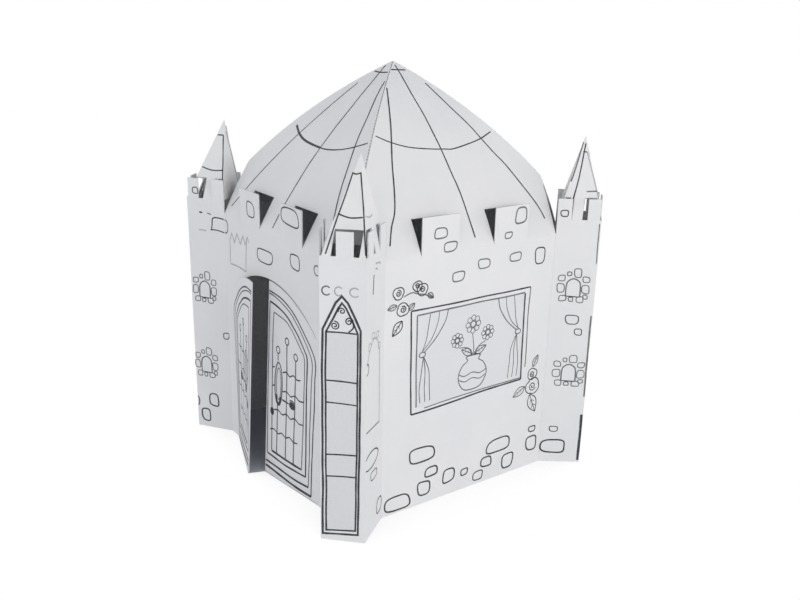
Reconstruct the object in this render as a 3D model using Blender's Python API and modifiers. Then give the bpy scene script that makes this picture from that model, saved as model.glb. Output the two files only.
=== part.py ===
"""A play castle folded from four sheets of printed board.

Each sheet is one piece: a wall, the roof panel folded inwards from its top, and the corner tower at its
left end, folded round and closed above by a leaning spire. The battlements are cut out of the roof panel
and the spire faces and left standing, so each leaves its own hole behind it. The door sheet also has an
arched doorway, whose two leaves stay on the wall by a fold.

Metres, +Z up. The origin is on the floor below the roof's apex. Each sheet is drawn as the door sheet,
whose wall faces -Y, and turned about Z into its place.
"""
import math
from dataclasses import dataclass

import bmesh
import bpy
from mathutils import Matrix, Vector

# The board, and the room left between two pieces and along a cut
BOARD = 0.004
GAP = 0.0003
CUT = 0.001

# Walls: reach is from the middle of the room to the outer face
WALL_REACH = 0.480
WALL_WIDTH = 0.698
WALL_HEIGHT = 0.858
WALL_MERLON_WIDTH = 0.143
WALL_MERLON_HEIGHT = 0.117
WALL_MERLON_SPACE = 0.148

# Roof panels bow outwards between the fold and the apex
APEX_HEIGHT = 1.402
ROOF_BOW = 0.044
ROOF_CORNER_RELIEF = 0.002
SHOULDER_REACH = 0.365
ROOF_ROWS = 18

# Towers
TOWER_SIDE = 0.1497
TOWER_SPLAY = math.radians(36.0)
TOWER_HEIGHT = 0.907
TOWER_MERLON_HEIGHT = 0.071
INNER_MERLON_WIDTH = 0.048
OUTER_MERLON_WIDTH = 0.042
FRONT_MERLON_WIDTH = 0.050
FRONT_MERLON_SHIFT = 0.004
SIDE_SLOT_WIDTH = 0.018
FRONT_SLOT_WIDTH = 0.016
CORNER_RELIEF = 0.006

# Spires: the apex of a straight one stands at this distance from both walls' middle lines
SPIRE_HEIGHT = 0.273
SPIRE_REACH = 0.449
SPIRE_LEAN = Vector((0.015, 0.022, 0.0))
HOLE_ABOVE_MERLON = 0.001
ROOM_CORNER_RELIEF = 0.008

# Doorway, with a leaf on each side
DOOR_WIDTH = 0.600
DOOR_SPRING_HEIGHT = 0.574
DOOR_RISE = 0.138
DOOR_STEPS = 36
LEAF_CUT = 0.002
LEAF_FLOOR_GAP = 0.003
LEAF_ROWS = 7

# How far each leaf stands open at its foot and at its top, because the board twists
LEFT_LEAF_SWINGS = (math.radians(19.0), math.radians(12.5))
RIGHT_LEAF_SWINGS = (math.radians(8.0), math.radians(1.0))

COLLECTION = "play_castle"
WELD = 0.00002
UP = Vector((0.0, 0.0, 1.0))
BOARD_COLOUR = (0.83, 0.84, 0.84, 1.0)
BOARD_ROUGHNESS = 0.7

HALF_WALL = WALL_WIDTH / 2


@dataclass(frozen=True)
class Plane:
    """A flat panel's place: where its flat outline's zero point, right and up lie in the room."""

    zero: Vector
    right: Vector
    up: Vector = UP

    def place(self, u, v):
        """Return the folded place of a point of the flat outline."""
        return self.zero + self.right * u + self.up * v


@dataclass(frozen=True)
class Bow:
    """A panel bowed to an arc, from a fold at one height up to an apex over the middle of the room."""

    reach: float
    base: float
    apex: float
    bow: float

    @property
    def chord(self):
        return math.hypot(self.reach, self.apex - self.base)

    @property
    def radius(self):
        return self.chord ** 2 / (8 * self.bow) + self.bow / 2

    @property
    def half_turn(self):
        return math.asin(self.chord / (2 * self.radius))

    @property
    def length(self):
        return 2 * self.half_turn * self.radius

    def slope(self, v):
        """Return the panel's angle to the floor at a distance v up its arc."""
        rise = math.atan2(self.apex - self.base, self.reach)
        return rise + self.half_turn - v / self.radius

    def inward(self, v):
        """Return how far a point has moved in from the fold."""
        return self.radius * (math.sin(self.slope(0)) - math.sin(self.slope(v)))

    def height(self, v):
        """Return the height of a point above the floor."""
        return self.base + self.radius * (math.cos(self.slope(v)) - math.cos(self.slope(0)))

    def place(self, u, v):
        """Return the folded place of a point of the flat outline."""
        return Vector((u, -self.reach + self.inward(v), self.height(v)))


ROOF = Bow(WALL_REACH, WALL_HEIGHT, APEX_HEIGHT, ROOF_BOW)


@dataclass(frozen=True)
class Leaf:
    """A door leaf's place: it is folded outwards at its hinge and twists from its foot to its top.

    Its side is -1 for the left leaf and 1 for the right one.
    """

    side: int
    foot_swing: float
    top_swing: float

    def place(self, u, v):
        """Return the folded place of a point of the flat outline, whose u is 0 at the hinge."""
        share = v / (DOOR_SPRING_HEIGHT + DOOR_RISE)
        swing = self.foot_swing + (self.top_swing - self.foot_swing) * share
        hinge = self.side * DOOR_WIDTH / 2
        return Vector((hinge + u * math.cos(swing), -WALL_REACH + self.side * u * math.sin(swing), v))


def empty_scene():
    """Remove what the scene holds."""
    for thing in list(bpy.data.objects):
        bpy.data.objects.remove(thing)


def board_material():
    """Return the material of the board."""
    material = bpy.data.materials.new("printed_board")
    material.use_nodes = True
    shader = material.node_tree.nodes["Principled BSDF"]
    shader.inputs["Base Color"].default_value = BOARD_COLOUR
    shader.inputs["Roughness"].default_value = BOARD_ROUGHNESS
    shader.inputs["Metallic"].default_value = 0.0
    return material


def flat_mesh(outline):
    """Fill a flat outline and return its mesh, face up."""
    curve = bpy.data.curves.new("outline", "CURVE")
    curve.dimensions = "2D"
    curve.fill_mode = "BOTH"
    spline = curve.splines.new("POLY")
    spline.points.add(len(outline) - 1)
    for point, (u, v) in zip(spline.points, outline):
        point.co = (u, v, 0.0, 1.0)
    spline.use_cyclic_u = True
    drawn = bpy.data.objects.new("outline", curve)
    bpy.context.scene.collection.objects.link(drawn)
    depsgraph = bpy.context.evaluated_depsgraph_get()
    mesh = bpy.data.meshes.new_from_object(drawn.evaluated_get(depsgraph))
    bpy.data.objects.remove(drawn)
    bpy.data.curves.remove(curve)
    return mesh


def add_panel(sheet, outline, shape, rows=()):
    """Cut a panel from its outline, divide it at each row so that it can bend, and fold it to its shape."""
    mesh = flat_mesh(outline)
    panel = bmesh.new()
    panel.from_mesh(mesh)
    for row in rows:
        everything = panel.verts[:] + panel.edges[:] + panel.faces[:]
        bmesh.ops.bisect_plane(panel, geom=everything, plane_co=(0.0, row, 0.0), plane_no=(0.0, 1.0, 0.0))
    for vert in panel.verts:
        vert.co = shape.place(vert.co.x, vert.co.y)
    panel.to_mesh(mesh)
    panel.free()
    sheet.from_mesh(mesh)
    bpy.data.meshes.remove(mesh)


def arch_points(radius_cut, right_u, left_u):
    """Return the doorway's arch from right to left, drawn inwards by a cut."""
    half = DOOR_WIDTH / 2
    radius = (half ** 2 + DOOR_RISE ** 2) / (2 * DOOR_RISE)
    centre = DOOR_SPRING_HEIGHT + DOOR_RISE - radius
    radius -= radius_cut
    start = math.asin(right_u / radius)
    turn = math.asin(left_u / radius) - start
    steps = max(1, round(DOOR_STEPS * abs(right_u - left_u) / DOOR_WIDTH))
    angles = [start + turn * step / steps for step in range(steps + 1)]
    return [(radius * math.sin(angle), centre + radius * math.cos(angle)) for angle in angles]


def hinge_heights():
    """Return the heights along a leaf's hinge fold at which the leaf bends, its two ends among them."""
    top = arch_points(LEAF_CUT, DOOR_WIDTH / 2, 0.0)[0][1]
    return [LEAF_FLOOR_GAP + (top - LEAF_FLOOR_GAP) * row / LEAF_ROWS for row in range(LEAF_ROWS + 1)]


def wall_outline(has_door):
    """Return a wall with its two merlons, drawn anticlockwise from the bottom left corner."""
    left = -HALF_WALL
    right = HALF_WALL - GAP
    outline = [(left, 0.0)]
    if has_door:
        half = DOOR_WIDTH / 2
        hinge = hinge_heights()
        arch = arch_points(0.0, half, -half)
        outline += [(-half, 0.0)] + [(-half, height) for height in hinge]
        outline += reversed(arch)
        outline += [(half, height) for height in reversed(hinge)] + [(half, 0.0)]
    outline += [(right, 0.0), (right, WALL_HEIGHT), (HALF_WALL - ROOF_CORNER_RELIEF, WALL_HEIGHT)]
    top = WALL_HEIGHT + WALL_MERLON_HEIGHT
    for inner in (WALL_MERLON_SPACE / 2, -WALL_MERLON_SPACE / 2 - WALL_MERLON_WIDTH):
        outer = inner + WALL_MERLON_WIDTH
        outline += [(outer + CUT, WALL_HEIGHT), (outer, WALL_HEIGHT), (outer, top)]
        outline += [(inner, top), (inner, WALL_HEIGHT), (inner - CUT, WALL_HEIGHT)]
    outline += [(-HALF_WALL + ROOF_CORNER_RELIEF, WALL_HEIGHT), (left, WALL_HEIGHT)]
    return outline


def roof_half_width(v):
    """Return half the panel's width along the hips, set back so that no inner edge meets its neighbour."""
    return WALL_REACH - ROOF.inward(v) - BOARD * math.sin(ROOF.slope(v)) - GAP


def find_row(test, low, high):
    """Return the distance up the arc at which a falling value reaches zero."""
    for _ in range(50):
        middle = (low + high) / 2
        if test(middle) > 0:
            low = middle
        else:
            high = middle
    return low


def roof_outline():
    """Return a roof panel, with a hole behind each merlon, and the rows at which it bends."""
    shoulder = find_row(lambda v: roof_half_width(v) - SHOULDER_REACH, 0.0, ROOF.length)
    tip = find_row(roof_half_width, shoulder, ROOF.length)
    rows = [tip * row / ROOF_ROWS for row in range(1, ROOF_ROWS)]
    half_base = HALF_WALL - ROOF_CORNER_RELIEF
    hole_top = WALL_MERLON_HEIGHT + CUT
    outline = [(-half_base, 0.0)]
    for inner in (-WALL_MERLON_SPACE / 2 - WALL_MERLON_WIDTH, WALL_MERLON_SPACE / 2):
        left = inner - CUT
        right = inner + WALL_MERLON_WIDTH + CUT
        outline += [(left, 0.0), (left, hole_top), (right, hole_top), (right, 0.0)]
    outline.append((half_base, 0.0))
    hips = [(roof_half_width(shoulder), shoulder)]
    hips += [(roof_half_width(row), row) for row in rows if row > shoulder]
    outline += hips
    outline.append((0.0, tip))
    outline += [(-u, v) for u, v in reversed(hips)]
    return outline, rows


def leaf_outline(side):
    """Return a door leaf, from its hinge fold to the cut in the middle, and the rows at which it bends."""
    half = DOOR_WIDTH / 2
    middle = side * LEAF_CUT / 2
    hinge = hinge_heights()
    arch = arch_points(LEAF_CUT, side * half, middle)
    outline = [(side * half, height) for height in hinge[:-1]] + arch + [(middle, LEAF_FLOOR_GAP)]
    if side < 0:
        outline.reverse()
    return [(u - side * half, v) for u, v in outline], hinge[1:]


def tower_corners():
    """Return the tower's corners: the inner and outer one by the wall, then the other two, mirrored."""
    inner = Vector((-HALF_WALL, -WALL_REACH, 0.0))
    side = Vector((math.cos(TOWER_SPLAY), math.sin(TOWER_SPLAY), 0.0)) * TOWER_SIDE
    outer = inner - side
    return inner, outer, Vector((outer.y, outer.x, 0.0)), Vector((inner.y, inner.x, 0.0))


def side_outline(inner_end, wall_fold):
    """Return a tower's side face with its two merlons, its outer corner at u = 0."""
    top = TOWER_HEIGHT + TOWER_MERLON_HEIGHT
    outer_merlon = CORNER_RELIEF + OUTER_MERLON_WIDTH
    inner_merlon = inner_end - INNER_MERLON_WIDTH
    outline = [(0.0, 0.0), (inner_end, 0.0)]
    if wall_fold:
        outline.append((inner_end, WALL_HEIGHT))
    outline += [(inner_end, top), (inner_merlon, top), (inner_merlon, TOWER_HEIGHT)]
    outline += [(inner_merlon - CUT, TOWER_HEIGHT), (outer_merlon + SIDE_SLOT_WIDTH, TOWER_HEIGHT)]
    outline += [(outer_merlon, TOWER_HEIGHT), (outer_merlon, top), (CORNER_RELIEF, top)]
    outline += [(CORNER_RELIEF, TOWER_HEIGHT), (0.0, TOWER_HEIGHT)]
    return outline


def front_merlon(width):
    """Return the left and right ends of the merlon on a tower's front face."""
    middle = width / 2 + FRONT_MERLON_SHIFT
    return middle - FRONT_MERLON_WIDTH / 2, middle + FRONT_MERLON_WIDTH / 2


def front_outline(width):
    """Return a tower's front face with its one merlon."""
    top = TOWER_HEIGHT + TOWER_MERLON_HEIGHT
    left, right = front_merlon(width)
    outline = [(0.0, 0.0), (width, 0.0), (width, TOWER_HEIGHT), (width - CORNER_RELIEF, TOWER_HEIGHT)]
    outline += [(right + FRONT_SLOT_WIDTH, TOWER_HEIGHT), (right, TOWER_HEIGHT), (right, top)]
    outline += [(left, top), (left, TOWER_HEIGHT), (left - FRONT_SLOT_WIDTH, TOWER_HEIGHT)]
    outline += [(CORNER_RELIEF, TOWER_HEIGHT), (0.0, TOWER_HEIGHT)]
    return outline


def mirrored(outline, width):
    """Return an outline mirrored left to right within its width, still drawn anticlockwise."""
    return [(width - u, v) for u, v in reversed(outline)]


@dataclass(frozen=True)
class SpireFace:
    """One face of a spire, between two corners at the top of the tower and the apex.

    Its outline is that of a straight spire, and the whole face slants with the lean.
    """

    left: Vector
    right: Vector
    apex: Vector
    lean: Vector

    @property
    def along(self):
        return (self.right - self.left).normalized()

    @property
    def tip(self):
        """The apex in the flat outline."""
        to_apex = self.apex - self.left
        across = to_apex.dot(self.along)
        return across, (to_apex - self.along * across).length

    @property
    def plane(self):
        """The plane of the face, its zero point at the left corner."""
        across, up = self.tip
        return Plane(self.left, self.along, (self.apex + self.lean - self.left - self.along * across) / up)

    def outline(self, feet, hole_share):
        """Return the face above its feet, each given by its two ends at the fold."""
        across, up = self.tip
        hole = up * hole_share
        left_u = across * hole_share
        width = (self.right - self.left).length
        right_u = width - (width - across) * hole_share
        points = []
        for start, end in feet:
            points += [(start, hole), (start, 0.0), (end, 0.0), (end, hole)]
        points = [(u, v) for u, v in points if v < hole or left_u < u < right_u]
        return [(left_u, hole)] + points + [(right_u, hole), (across, up)]


def add_spire(sheet, corners, lean):
    """Add the spire's four faces over the tower: two sides, the front and the one towards the room."""
    inner, outer, far_outer, far_inner = [corner + UP * TOWER_HEIGHT for corner in corners]
    top = TOWER_HEIGHT + SPIRE_HEIGHT
    apex = Vector((-SPIRE_REACH, -SPIRE_REACH, top))
    hole_share = (TOWER_MERLON_HEIGHT + HOLE_ABOVE_MERLON) / SPIRE_HEIGHT
    side_foot_end = TOWER_SIDE - INNER_MERLON_WIDTH - CUT
    side_foot = (CORNER_RELIEF + OUTER_MERLON_WIDTH + SIDE_SLOT_WIDTH, side_foot_end)
    far_foot = (TOWER_SIDE - side_foot[1], TOWER_SIDE - side_foot[0])
    front_width = (outer - far_outer).length
    left, right = front_merlon(front_width)
    left_foot = (CORNER_RELIEF, left - FRONT_SLOT_WIDTH)
    right_foot = (right + FRONT_SLOT_WIDTH, front_width - CORNER_RELIEF)
    room_width = (far_inner - inner).length
    room_foot = (ROOM_CORNER_RELIEF, room_width - ROOM_CORNER_RELIEF)
    faces = [
        (SpireFace(outer, inner, apex, lean), [side_foot]),
        (SpireFace(far_outer, outer, apex, lean), [left_foot, right_foot]),
        (SpireFace(far_inner, far_outer, apex, lean), [far_foot]),
        (SpireFace(inner, far_inner, apex, lean), [room_foot]),
    ]
    for face, feet in faces:
        add_panel(sheet, face.outline(feet, hole_share), face.plane)


def add_tower(sheet, lean):
    """Add the three faces of the tower at the wall's left end, and its spire."""
    corners = tower_corners()
    inner, outer, far_outer, far_inner = corners
    front_width = (outer - far_outer).length
    near = side_outline(TOWER_SIDE, True)
    far = mirrored(side_outline(TOWER_SIDE, False), TOWER_SIDE)
    add_panel(sheet, near, Plane(outer, (inner - outer).normalized()))
    add_panel(sheet, front_outline(front_width), Plane(far_outer, (outer - far_outer).normalized()))
    add_panel(sheet, far, Plane(far_inner, (far_outer - far_inner).normalized()))
    add_spire(sheet, corners, lean)


def make_sheet(name, quarter_turns, material, collection, has_door=False):
    """Fold one sheet and turn it into its place round the room."""
    turn = Matrix.Rotation(math.radians(90.0) * quarter_turns, 4, "Z")
    sheet = bmesh.new()
    add_panel(sheet, wall_outline(has_door), Plane(Vector((0.0, -WALL_REACH, 0.0)), Vector((1.0, 0.0, 0.0))))
    if has_door:
        for side, swings in ((-1, LEFT_LEAF_SWINGS), (1, RIGHT_LEAF_SWINGS)):
            outline, rows = leaf_outline(side)
            add_panel(sheet, outline, Leaf(side, *swings), rows)
    outline, rows = roof_outline()
    add_panel(sheet, outline, ROOF, rows)
    add_tower(sheet, turn.inverted() @ SPIRE_LEAN)
    bmesh.ops.remove_doubles(sheet, verts=sheet.verts, dist=WELD)
    mesh = bpy.data.meshes.new(name)
    sheet.to_mesh(mesh)
    sheet.free()
    mesh.materials.append(material)
    made = bpy.data.objects.new(name, mesh)
    made.matrix_world = turn
    collection.objects.link(made)
    thicken(made)
    return made


def thicken(sheet):
    """Give the board its thickness, inwards from the printed face."""
    solid = sheet.modifiers.new("board", "SOLIDIFY")
    solid.solidify_mode = "NON_MANIFOLD"
    solid.nonmanifold_thickness_mode = "CONSTRAINTS"
    solid.nonmanifold_boundary_mode = "ROUND"
    solid.nonmanifold_merge_threshold = WELD
    solid.thickness = BOARD
    solid.offset = -1.0


def main():
    """Build the four sheets."""
    empty_scene()
    collection = bpy.data.collections.new(COLLECTION)
    bpy.context.scene.collection.children.link(collection)
    material = board_material()
    make_sheet("door_sheet", 0, material, collection, has_door=True)
    make_sheet("window_sheet", 1, material, collection)
    make_sheet("back_sheet", 2, material, collection)
    make_sheet("side_sheet", 3, material, collection)


if __name__ == "__main__":
    main()
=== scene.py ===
"""Looks of a play castle folded from four sheets of white board printed with charcoal line drawings.

Every sheet is folded again here from the same sizes as its solid, with finer bends and with its own
finish on the printed face, on the plain back and on the cut edges. The drawings are laid on the folded
faces as thin flat strokes. Metres, +Z up, origin on the floor below the roof's apex.
"""

import logging
import math
from dataclasses import dataclass, field
from enum import Enum

import bmesh
import bpy
from mathutils import Matrix, Vector, noise


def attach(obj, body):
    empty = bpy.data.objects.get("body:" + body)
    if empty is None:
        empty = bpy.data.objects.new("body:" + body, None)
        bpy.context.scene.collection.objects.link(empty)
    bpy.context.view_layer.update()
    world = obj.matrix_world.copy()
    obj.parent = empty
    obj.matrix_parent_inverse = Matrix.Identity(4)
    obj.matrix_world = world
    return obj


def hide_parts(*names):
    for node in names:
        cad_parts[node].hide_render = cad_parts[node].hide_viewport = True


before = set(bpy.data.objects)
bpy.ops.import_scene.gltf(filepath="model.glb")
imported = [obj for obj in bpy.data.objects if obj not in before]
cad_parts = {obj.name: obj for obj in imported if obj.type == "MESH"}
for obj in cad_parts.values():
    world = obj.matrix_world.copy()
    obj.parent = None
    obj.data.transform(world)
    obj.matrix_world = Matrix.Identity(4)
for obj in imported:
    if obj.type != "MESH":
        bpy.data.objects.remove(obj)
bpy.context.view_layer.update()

LOG = logging.getLogger("castle")
Point = tuple[float, float]
Outline = list[Point]
StonePlace = tuple[float, float, float, float]
Colour = tuple[float, float, float]
Stops = tuple[tuple[float, Colour], ...]

BODY = "root"
UP = Vector((0.0, 0.0, 1.0))

# Folding: the distance within which corners are welded, the angle from which an edge's shading stays
# sharp, how often the search for a place on the bend is halved, and the name of the board's flat map
WELD = 0.00002
SHARP_ANGLE = math.radians(12.0)
HALVINGS = 50
FLAT_MAP = "board"

# The spacing of the waves in the board's core. Blender's wave texture repeats ten times in each pi of
# its coordinate
FLUTE_PITCH = 0.0072
WAVES_IN_PI = 10.0

# Drawings are in millimetres and the folded shapes in metres. Here are the spacing of the points along a
# drawn and along a ruled line, and how far the hand swayed, in how many waves a metre. The offset keeps
# its sway upwards apart from its sway across
MILLIMETRES = 1000
LINE_STEP = 4.0
RULED_STEP = 3 * LINE_STEP
HAND_SWAY = 2.2
HAND_WAVES = 8.0
HAND_OFFSET = Vector((7.3, 2.9, 5.1))

# A pen's line: how much its width varies and over what length, its share at the line's ends, and the
# limits at a corner: how sharp a turn is followed, and how wide the line gets there
PEN_VARIES = 0.18
PEN_VARIES_OVER = 37.0
PEN_END = 0.55
PEN_SHARPEST = 0.55
PEN_WIDEST = 1.6

# Stones: how square their corners are, how uneven their outline is in two waves and in three, the points
# round it, and the half size up to which the line is thinner, by what share
STONE_CORNER = 0.62
STONE_UNEVEN = (0.06, 0.04)
STONE_POINTS = 14
SMALL_STONE = 16
SMALL_STONE_LINE = 0.8

# Flowers: an oval's points, a spiral's points in each turn and the share of its radius that it starts at,
# a rose's heart, its petals' middles and half sizes as shares of its radius, and their arcs in degrees
OVAL_POINTS = 12
SPIRAL_POINTS = 9
SPIRAL_START = 0.15
ROSE_HEART = 0.55
ROSE_PETAL_MIDDLE = 0.22
ROSE_PETAL_SIZE = (0.82, 0.78)
ROSE_PETAL_TURN = 120.0
ROSE_PETAL_ARC = 170.0

# Leaves: how far along and how far out each side bulges, where the veins start along the rib, and how
# far along and out they run
LEAF_BULGES = ((0.3, 0.9), (0.62, 0.85))
LEAF_VEINS = (0.3, 0.55)
LEAF_VEIN_RUN = 0.18
LEAF_VEIN_REACH = 0.55


class Tone(Enum):
    """How strongly a mark is printed."""

    INK = "ink"
    SOFT = "soft"
    FAINT = "faint"
    TINT = "tint"
    PALE = "pale"


TONES = list(Tone)

# How far each printing lies proud of the board, so that a stronger one covers a weaker one
LIFTS = {Tone.INK: 0.00040, Tone.SOFT: 0.00034, Tone.FAINT: 0.00028, Tone.TINT: 0.00020, Tone.PALE: 0.00020}

# The stones about a small window: each one's middle from the opening's middle, half width, half height
RING_STONES = (
    (13, 52, 13, 15), (-16, 48, 7, 7), (-42, 32, 12, 10), (-44, -3, 13, 15), (43, 29, 12, 10),
    (43, -6, 13, 15), (44, -33, 8, 7), (-35, -40, 12, 10), (-6, -43, 8, 7), (26, -43, 13, 10),
)


@dataclass(frozen=True)
class Plane:
    """A flat panel's place: where its flat outline's zero point, right and up lie."""

    zero: Vector
    right: Vector
    up: Vector = field(default_factory=lambda: UP.copy())

    def place(self, u: float, v: float) -> Vector:
        """Return the folded place of a point of the flat outline."""
        return self.zero + self.right * u + self.up * v

    def normal(self, u: float, v: float) -> Vector:
        """Return the direction out of the printed face."""
        return self.right.cross(self.up).normalized()


@dataclass(frozen=True)
class Bow:
    """A panel bowed to an arc, from a fold at one height up to an apex over the middle of the room."""

    reach: float
    base: float
    apex: float
    bow: float

    @property
    def chord(self) -> float:
        """The straight distance from the fold to the apex."""
        return math.hypot(self.reach, self.apex - self.base)

    @property
    def radius(self) -> float:
        """The radius of the bend."""
        return self.chord**2 / (8 * self.bow) + self.bow / 2

    @property
    def half_turn(self) -> float:
        """Half the angle that the panel turns through."""
        return math.asin(self.chord / (2 * self.radius))

    @property
    def length(self) -> float:
        """The panel's length along its bend."""
        return 2 * self.half_turn * self.radius

    def slope(self, v: float) -> float:
        """Return the angle to the floor at a distance up the bend."""
        rise = math.atan2(self.apex - self.base, self.reach)
        return rise + self.half_turn - v / self.radius

    def inward(self, v: float) -> float:
        """Return how far a point has moved in from the fold."""
        return self.radius * (math.sin(self.slope(0.0)) - math.sin(self.slope(v)))

    def height(self, v: float) -> float:
        """Return a point's height above the floor."""
        return self.base + self.radius * (math.cos(self.slope(v)) - math.cos(self.slope(0.0)))

    def place(self, u: float, v: float) -> Vector:
        """Return the folded place of a point of the flat outline."""
        return Vector((u, -self.reach + self.inward(v), self.height(v)))

    def normal(self, u: float, v: float) -> Vector:
        """Return the direction out of the printed face."""
        return Vector((0.0, -math.sin(self.slope(v)), math.cos(self.slope(v))))


@dataclass(frozen=True)
class Leaf:
    """A door leaf's place: folded outwards at its hinge, and twisted from its foot to its top."""

    side: int
    hinge: Vector
    foot_swing: float
    top_swing: float
    top: float

    def right(self, v: float) -> Vector:
        """Return the leaf's direction to the right at a height."""
        swing = self.foot_swing + (self.top_swing - self.foot_swing) * v / self.top
        return Vector((math.cos(swing), self.side * math.sin(swing), 0.0))

    def place(self, u: float, v: float) -> Vector:
        """Return the folded place of a point of the flat outline, whose u is 0 at the hinge."""
        return self.hinge + self.right(v) * u + UP * v

    def normal(self, u: float, v: float) -> Vector:
        """Return the direction out of the printed face."""
        return self.right(v).cross(UP)


Shape = Plane | Bow | Leaf


def flat_mesh(outline: Outline) -> bpy.types.Mesh:
    """Fill a flat outline.

    Args:
        outline: The outline's points, in order.

    Returns:
        The filled outline as a mesh, face up.
    """
    curve = bpy.data.curves.new("outline", "CURVE")
    curve.dimensions = "2D"
    curve.fill_mode = "BOTH"
    spline = curve.splines.new("POLY")
    spline.points.add(len(outline) - 1)
    for point, (u, v) in zip(spline.points, outline):
        point.co = (u, v, 0.0, 1.0)
    spline.use_cyclic_u = True
    drawn = bpy.data.objects.new("outline", curve)
    bpy.context.scene.collection.objects.link(drawn)
    depsgraph = bpy.context.evaluated_depsgraph_get()
    mesh = bpy.data.meshes.new_from_object(drawn.evaluated_get(depsgraph))
    bpy.data.objects.remove(drawn)
    bpy.data.curves.remove(curve)
    return mesh


def show(name: str, mesh: bpy.types.Mesh) -> bpy.types.Object:
    """Make an object of a mesh, ride it on the castle and log it.

    Args:
        name: The piece's name.
        mesh: Its mesh, in the castle's frame.

    Returns:
        The new object.
    """
    made = bpy.data.objects.new(name, mesh)
    bpy.context.scene.collection.objects.link(made)
    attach(made, BODY)
    LOG.info("made %s with %d faces", name, len(mesh.polygons))
    return made


def smooth(points: Outline, closed: bool) -> Outline:
    """Draw a smooth line through points.

    Args:
        points: The points, in order.
        closed: Whether the line comes back to its first point.

    Returns:
        The line's points, close enough together to look round.
    """
    count = len(points)
    line = []
    for span in range(count if closed else count - 1):
        picked = [span - 1, span, span + 1, span + 2]
        if closed:
            picked = [index % count for index in picked]
        else:
            picked = [min(max(index, 0), count - 1) for index in picked]
        before, start, end, after = (Vector(points[index]) for index in picked)
        steps = max(2, round((end - start).length / LINE_STEP))
        for step in range(steps):
            t = step / steps
            bend = (end - before) * t + (before * 2 - start * 5 + end * 4 - after) * t**2
            point = start + (bend + (start * 3 - before - end * 3 + after) * t**3) / 2
            line.append((point.x, point.y))
    if not closed:
        line.append(points[-1])
    return line


def straight(points: Outline, closed: bool) -> Outline:
    """Draw straight lines between points, with points along them that can follow a bend.

    Args:
        points: The corners, in order.
        closed: Whether the line comes back to its first point.

    Returns:
        The line's points.
    """
    corners = points + points[:1] if closed else points
    line = []
    for start, end in zip(corners, corners[1:]):
        steps = max(1, round(math.dist(start, end) / RULED_STEP))
        for step in range(steps):
            t = step / steps
            line.append((start[0] + (end[0] - start[0]) * t, start[1] + (end[1] - start[1]) * t))
    if not closed:
        line.append(points[-1])
    return line


def oval(
    u: float,
    v: float,
    half_u: float,
    half_v: float,
    start: float = 0.0,
    turn: float = 360.0,
) -> Outline:
    """Return points of an oval or of an arc of it.

    Args:
        u: Its middle.
        v: Its middle's height.
        half_u: Half its width.
        half_v: Half its height.
        start: Where the arc starts, in degrees from the right.
        turn: How far it goes round.

    Returns:
        The points.
    """
    count = OVAL_POINTS if turn == 360.0 else OVAL_POINTS + 1
    angles = [math.radians(start + turn * step / OVAL_POINTS) for step in range(count)]
    return [(u + half_u * math.cos(angle), v + half_v * math.sin(angle)) for angle in angles]


@dataclass(frozen=True)
class Mark:
    """A drawn line, or a filled shape where its width is zero, in millimetres on a flat panel."""

    points: Outline
    tone: Tone
    width: float
    closed: bool


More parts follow.
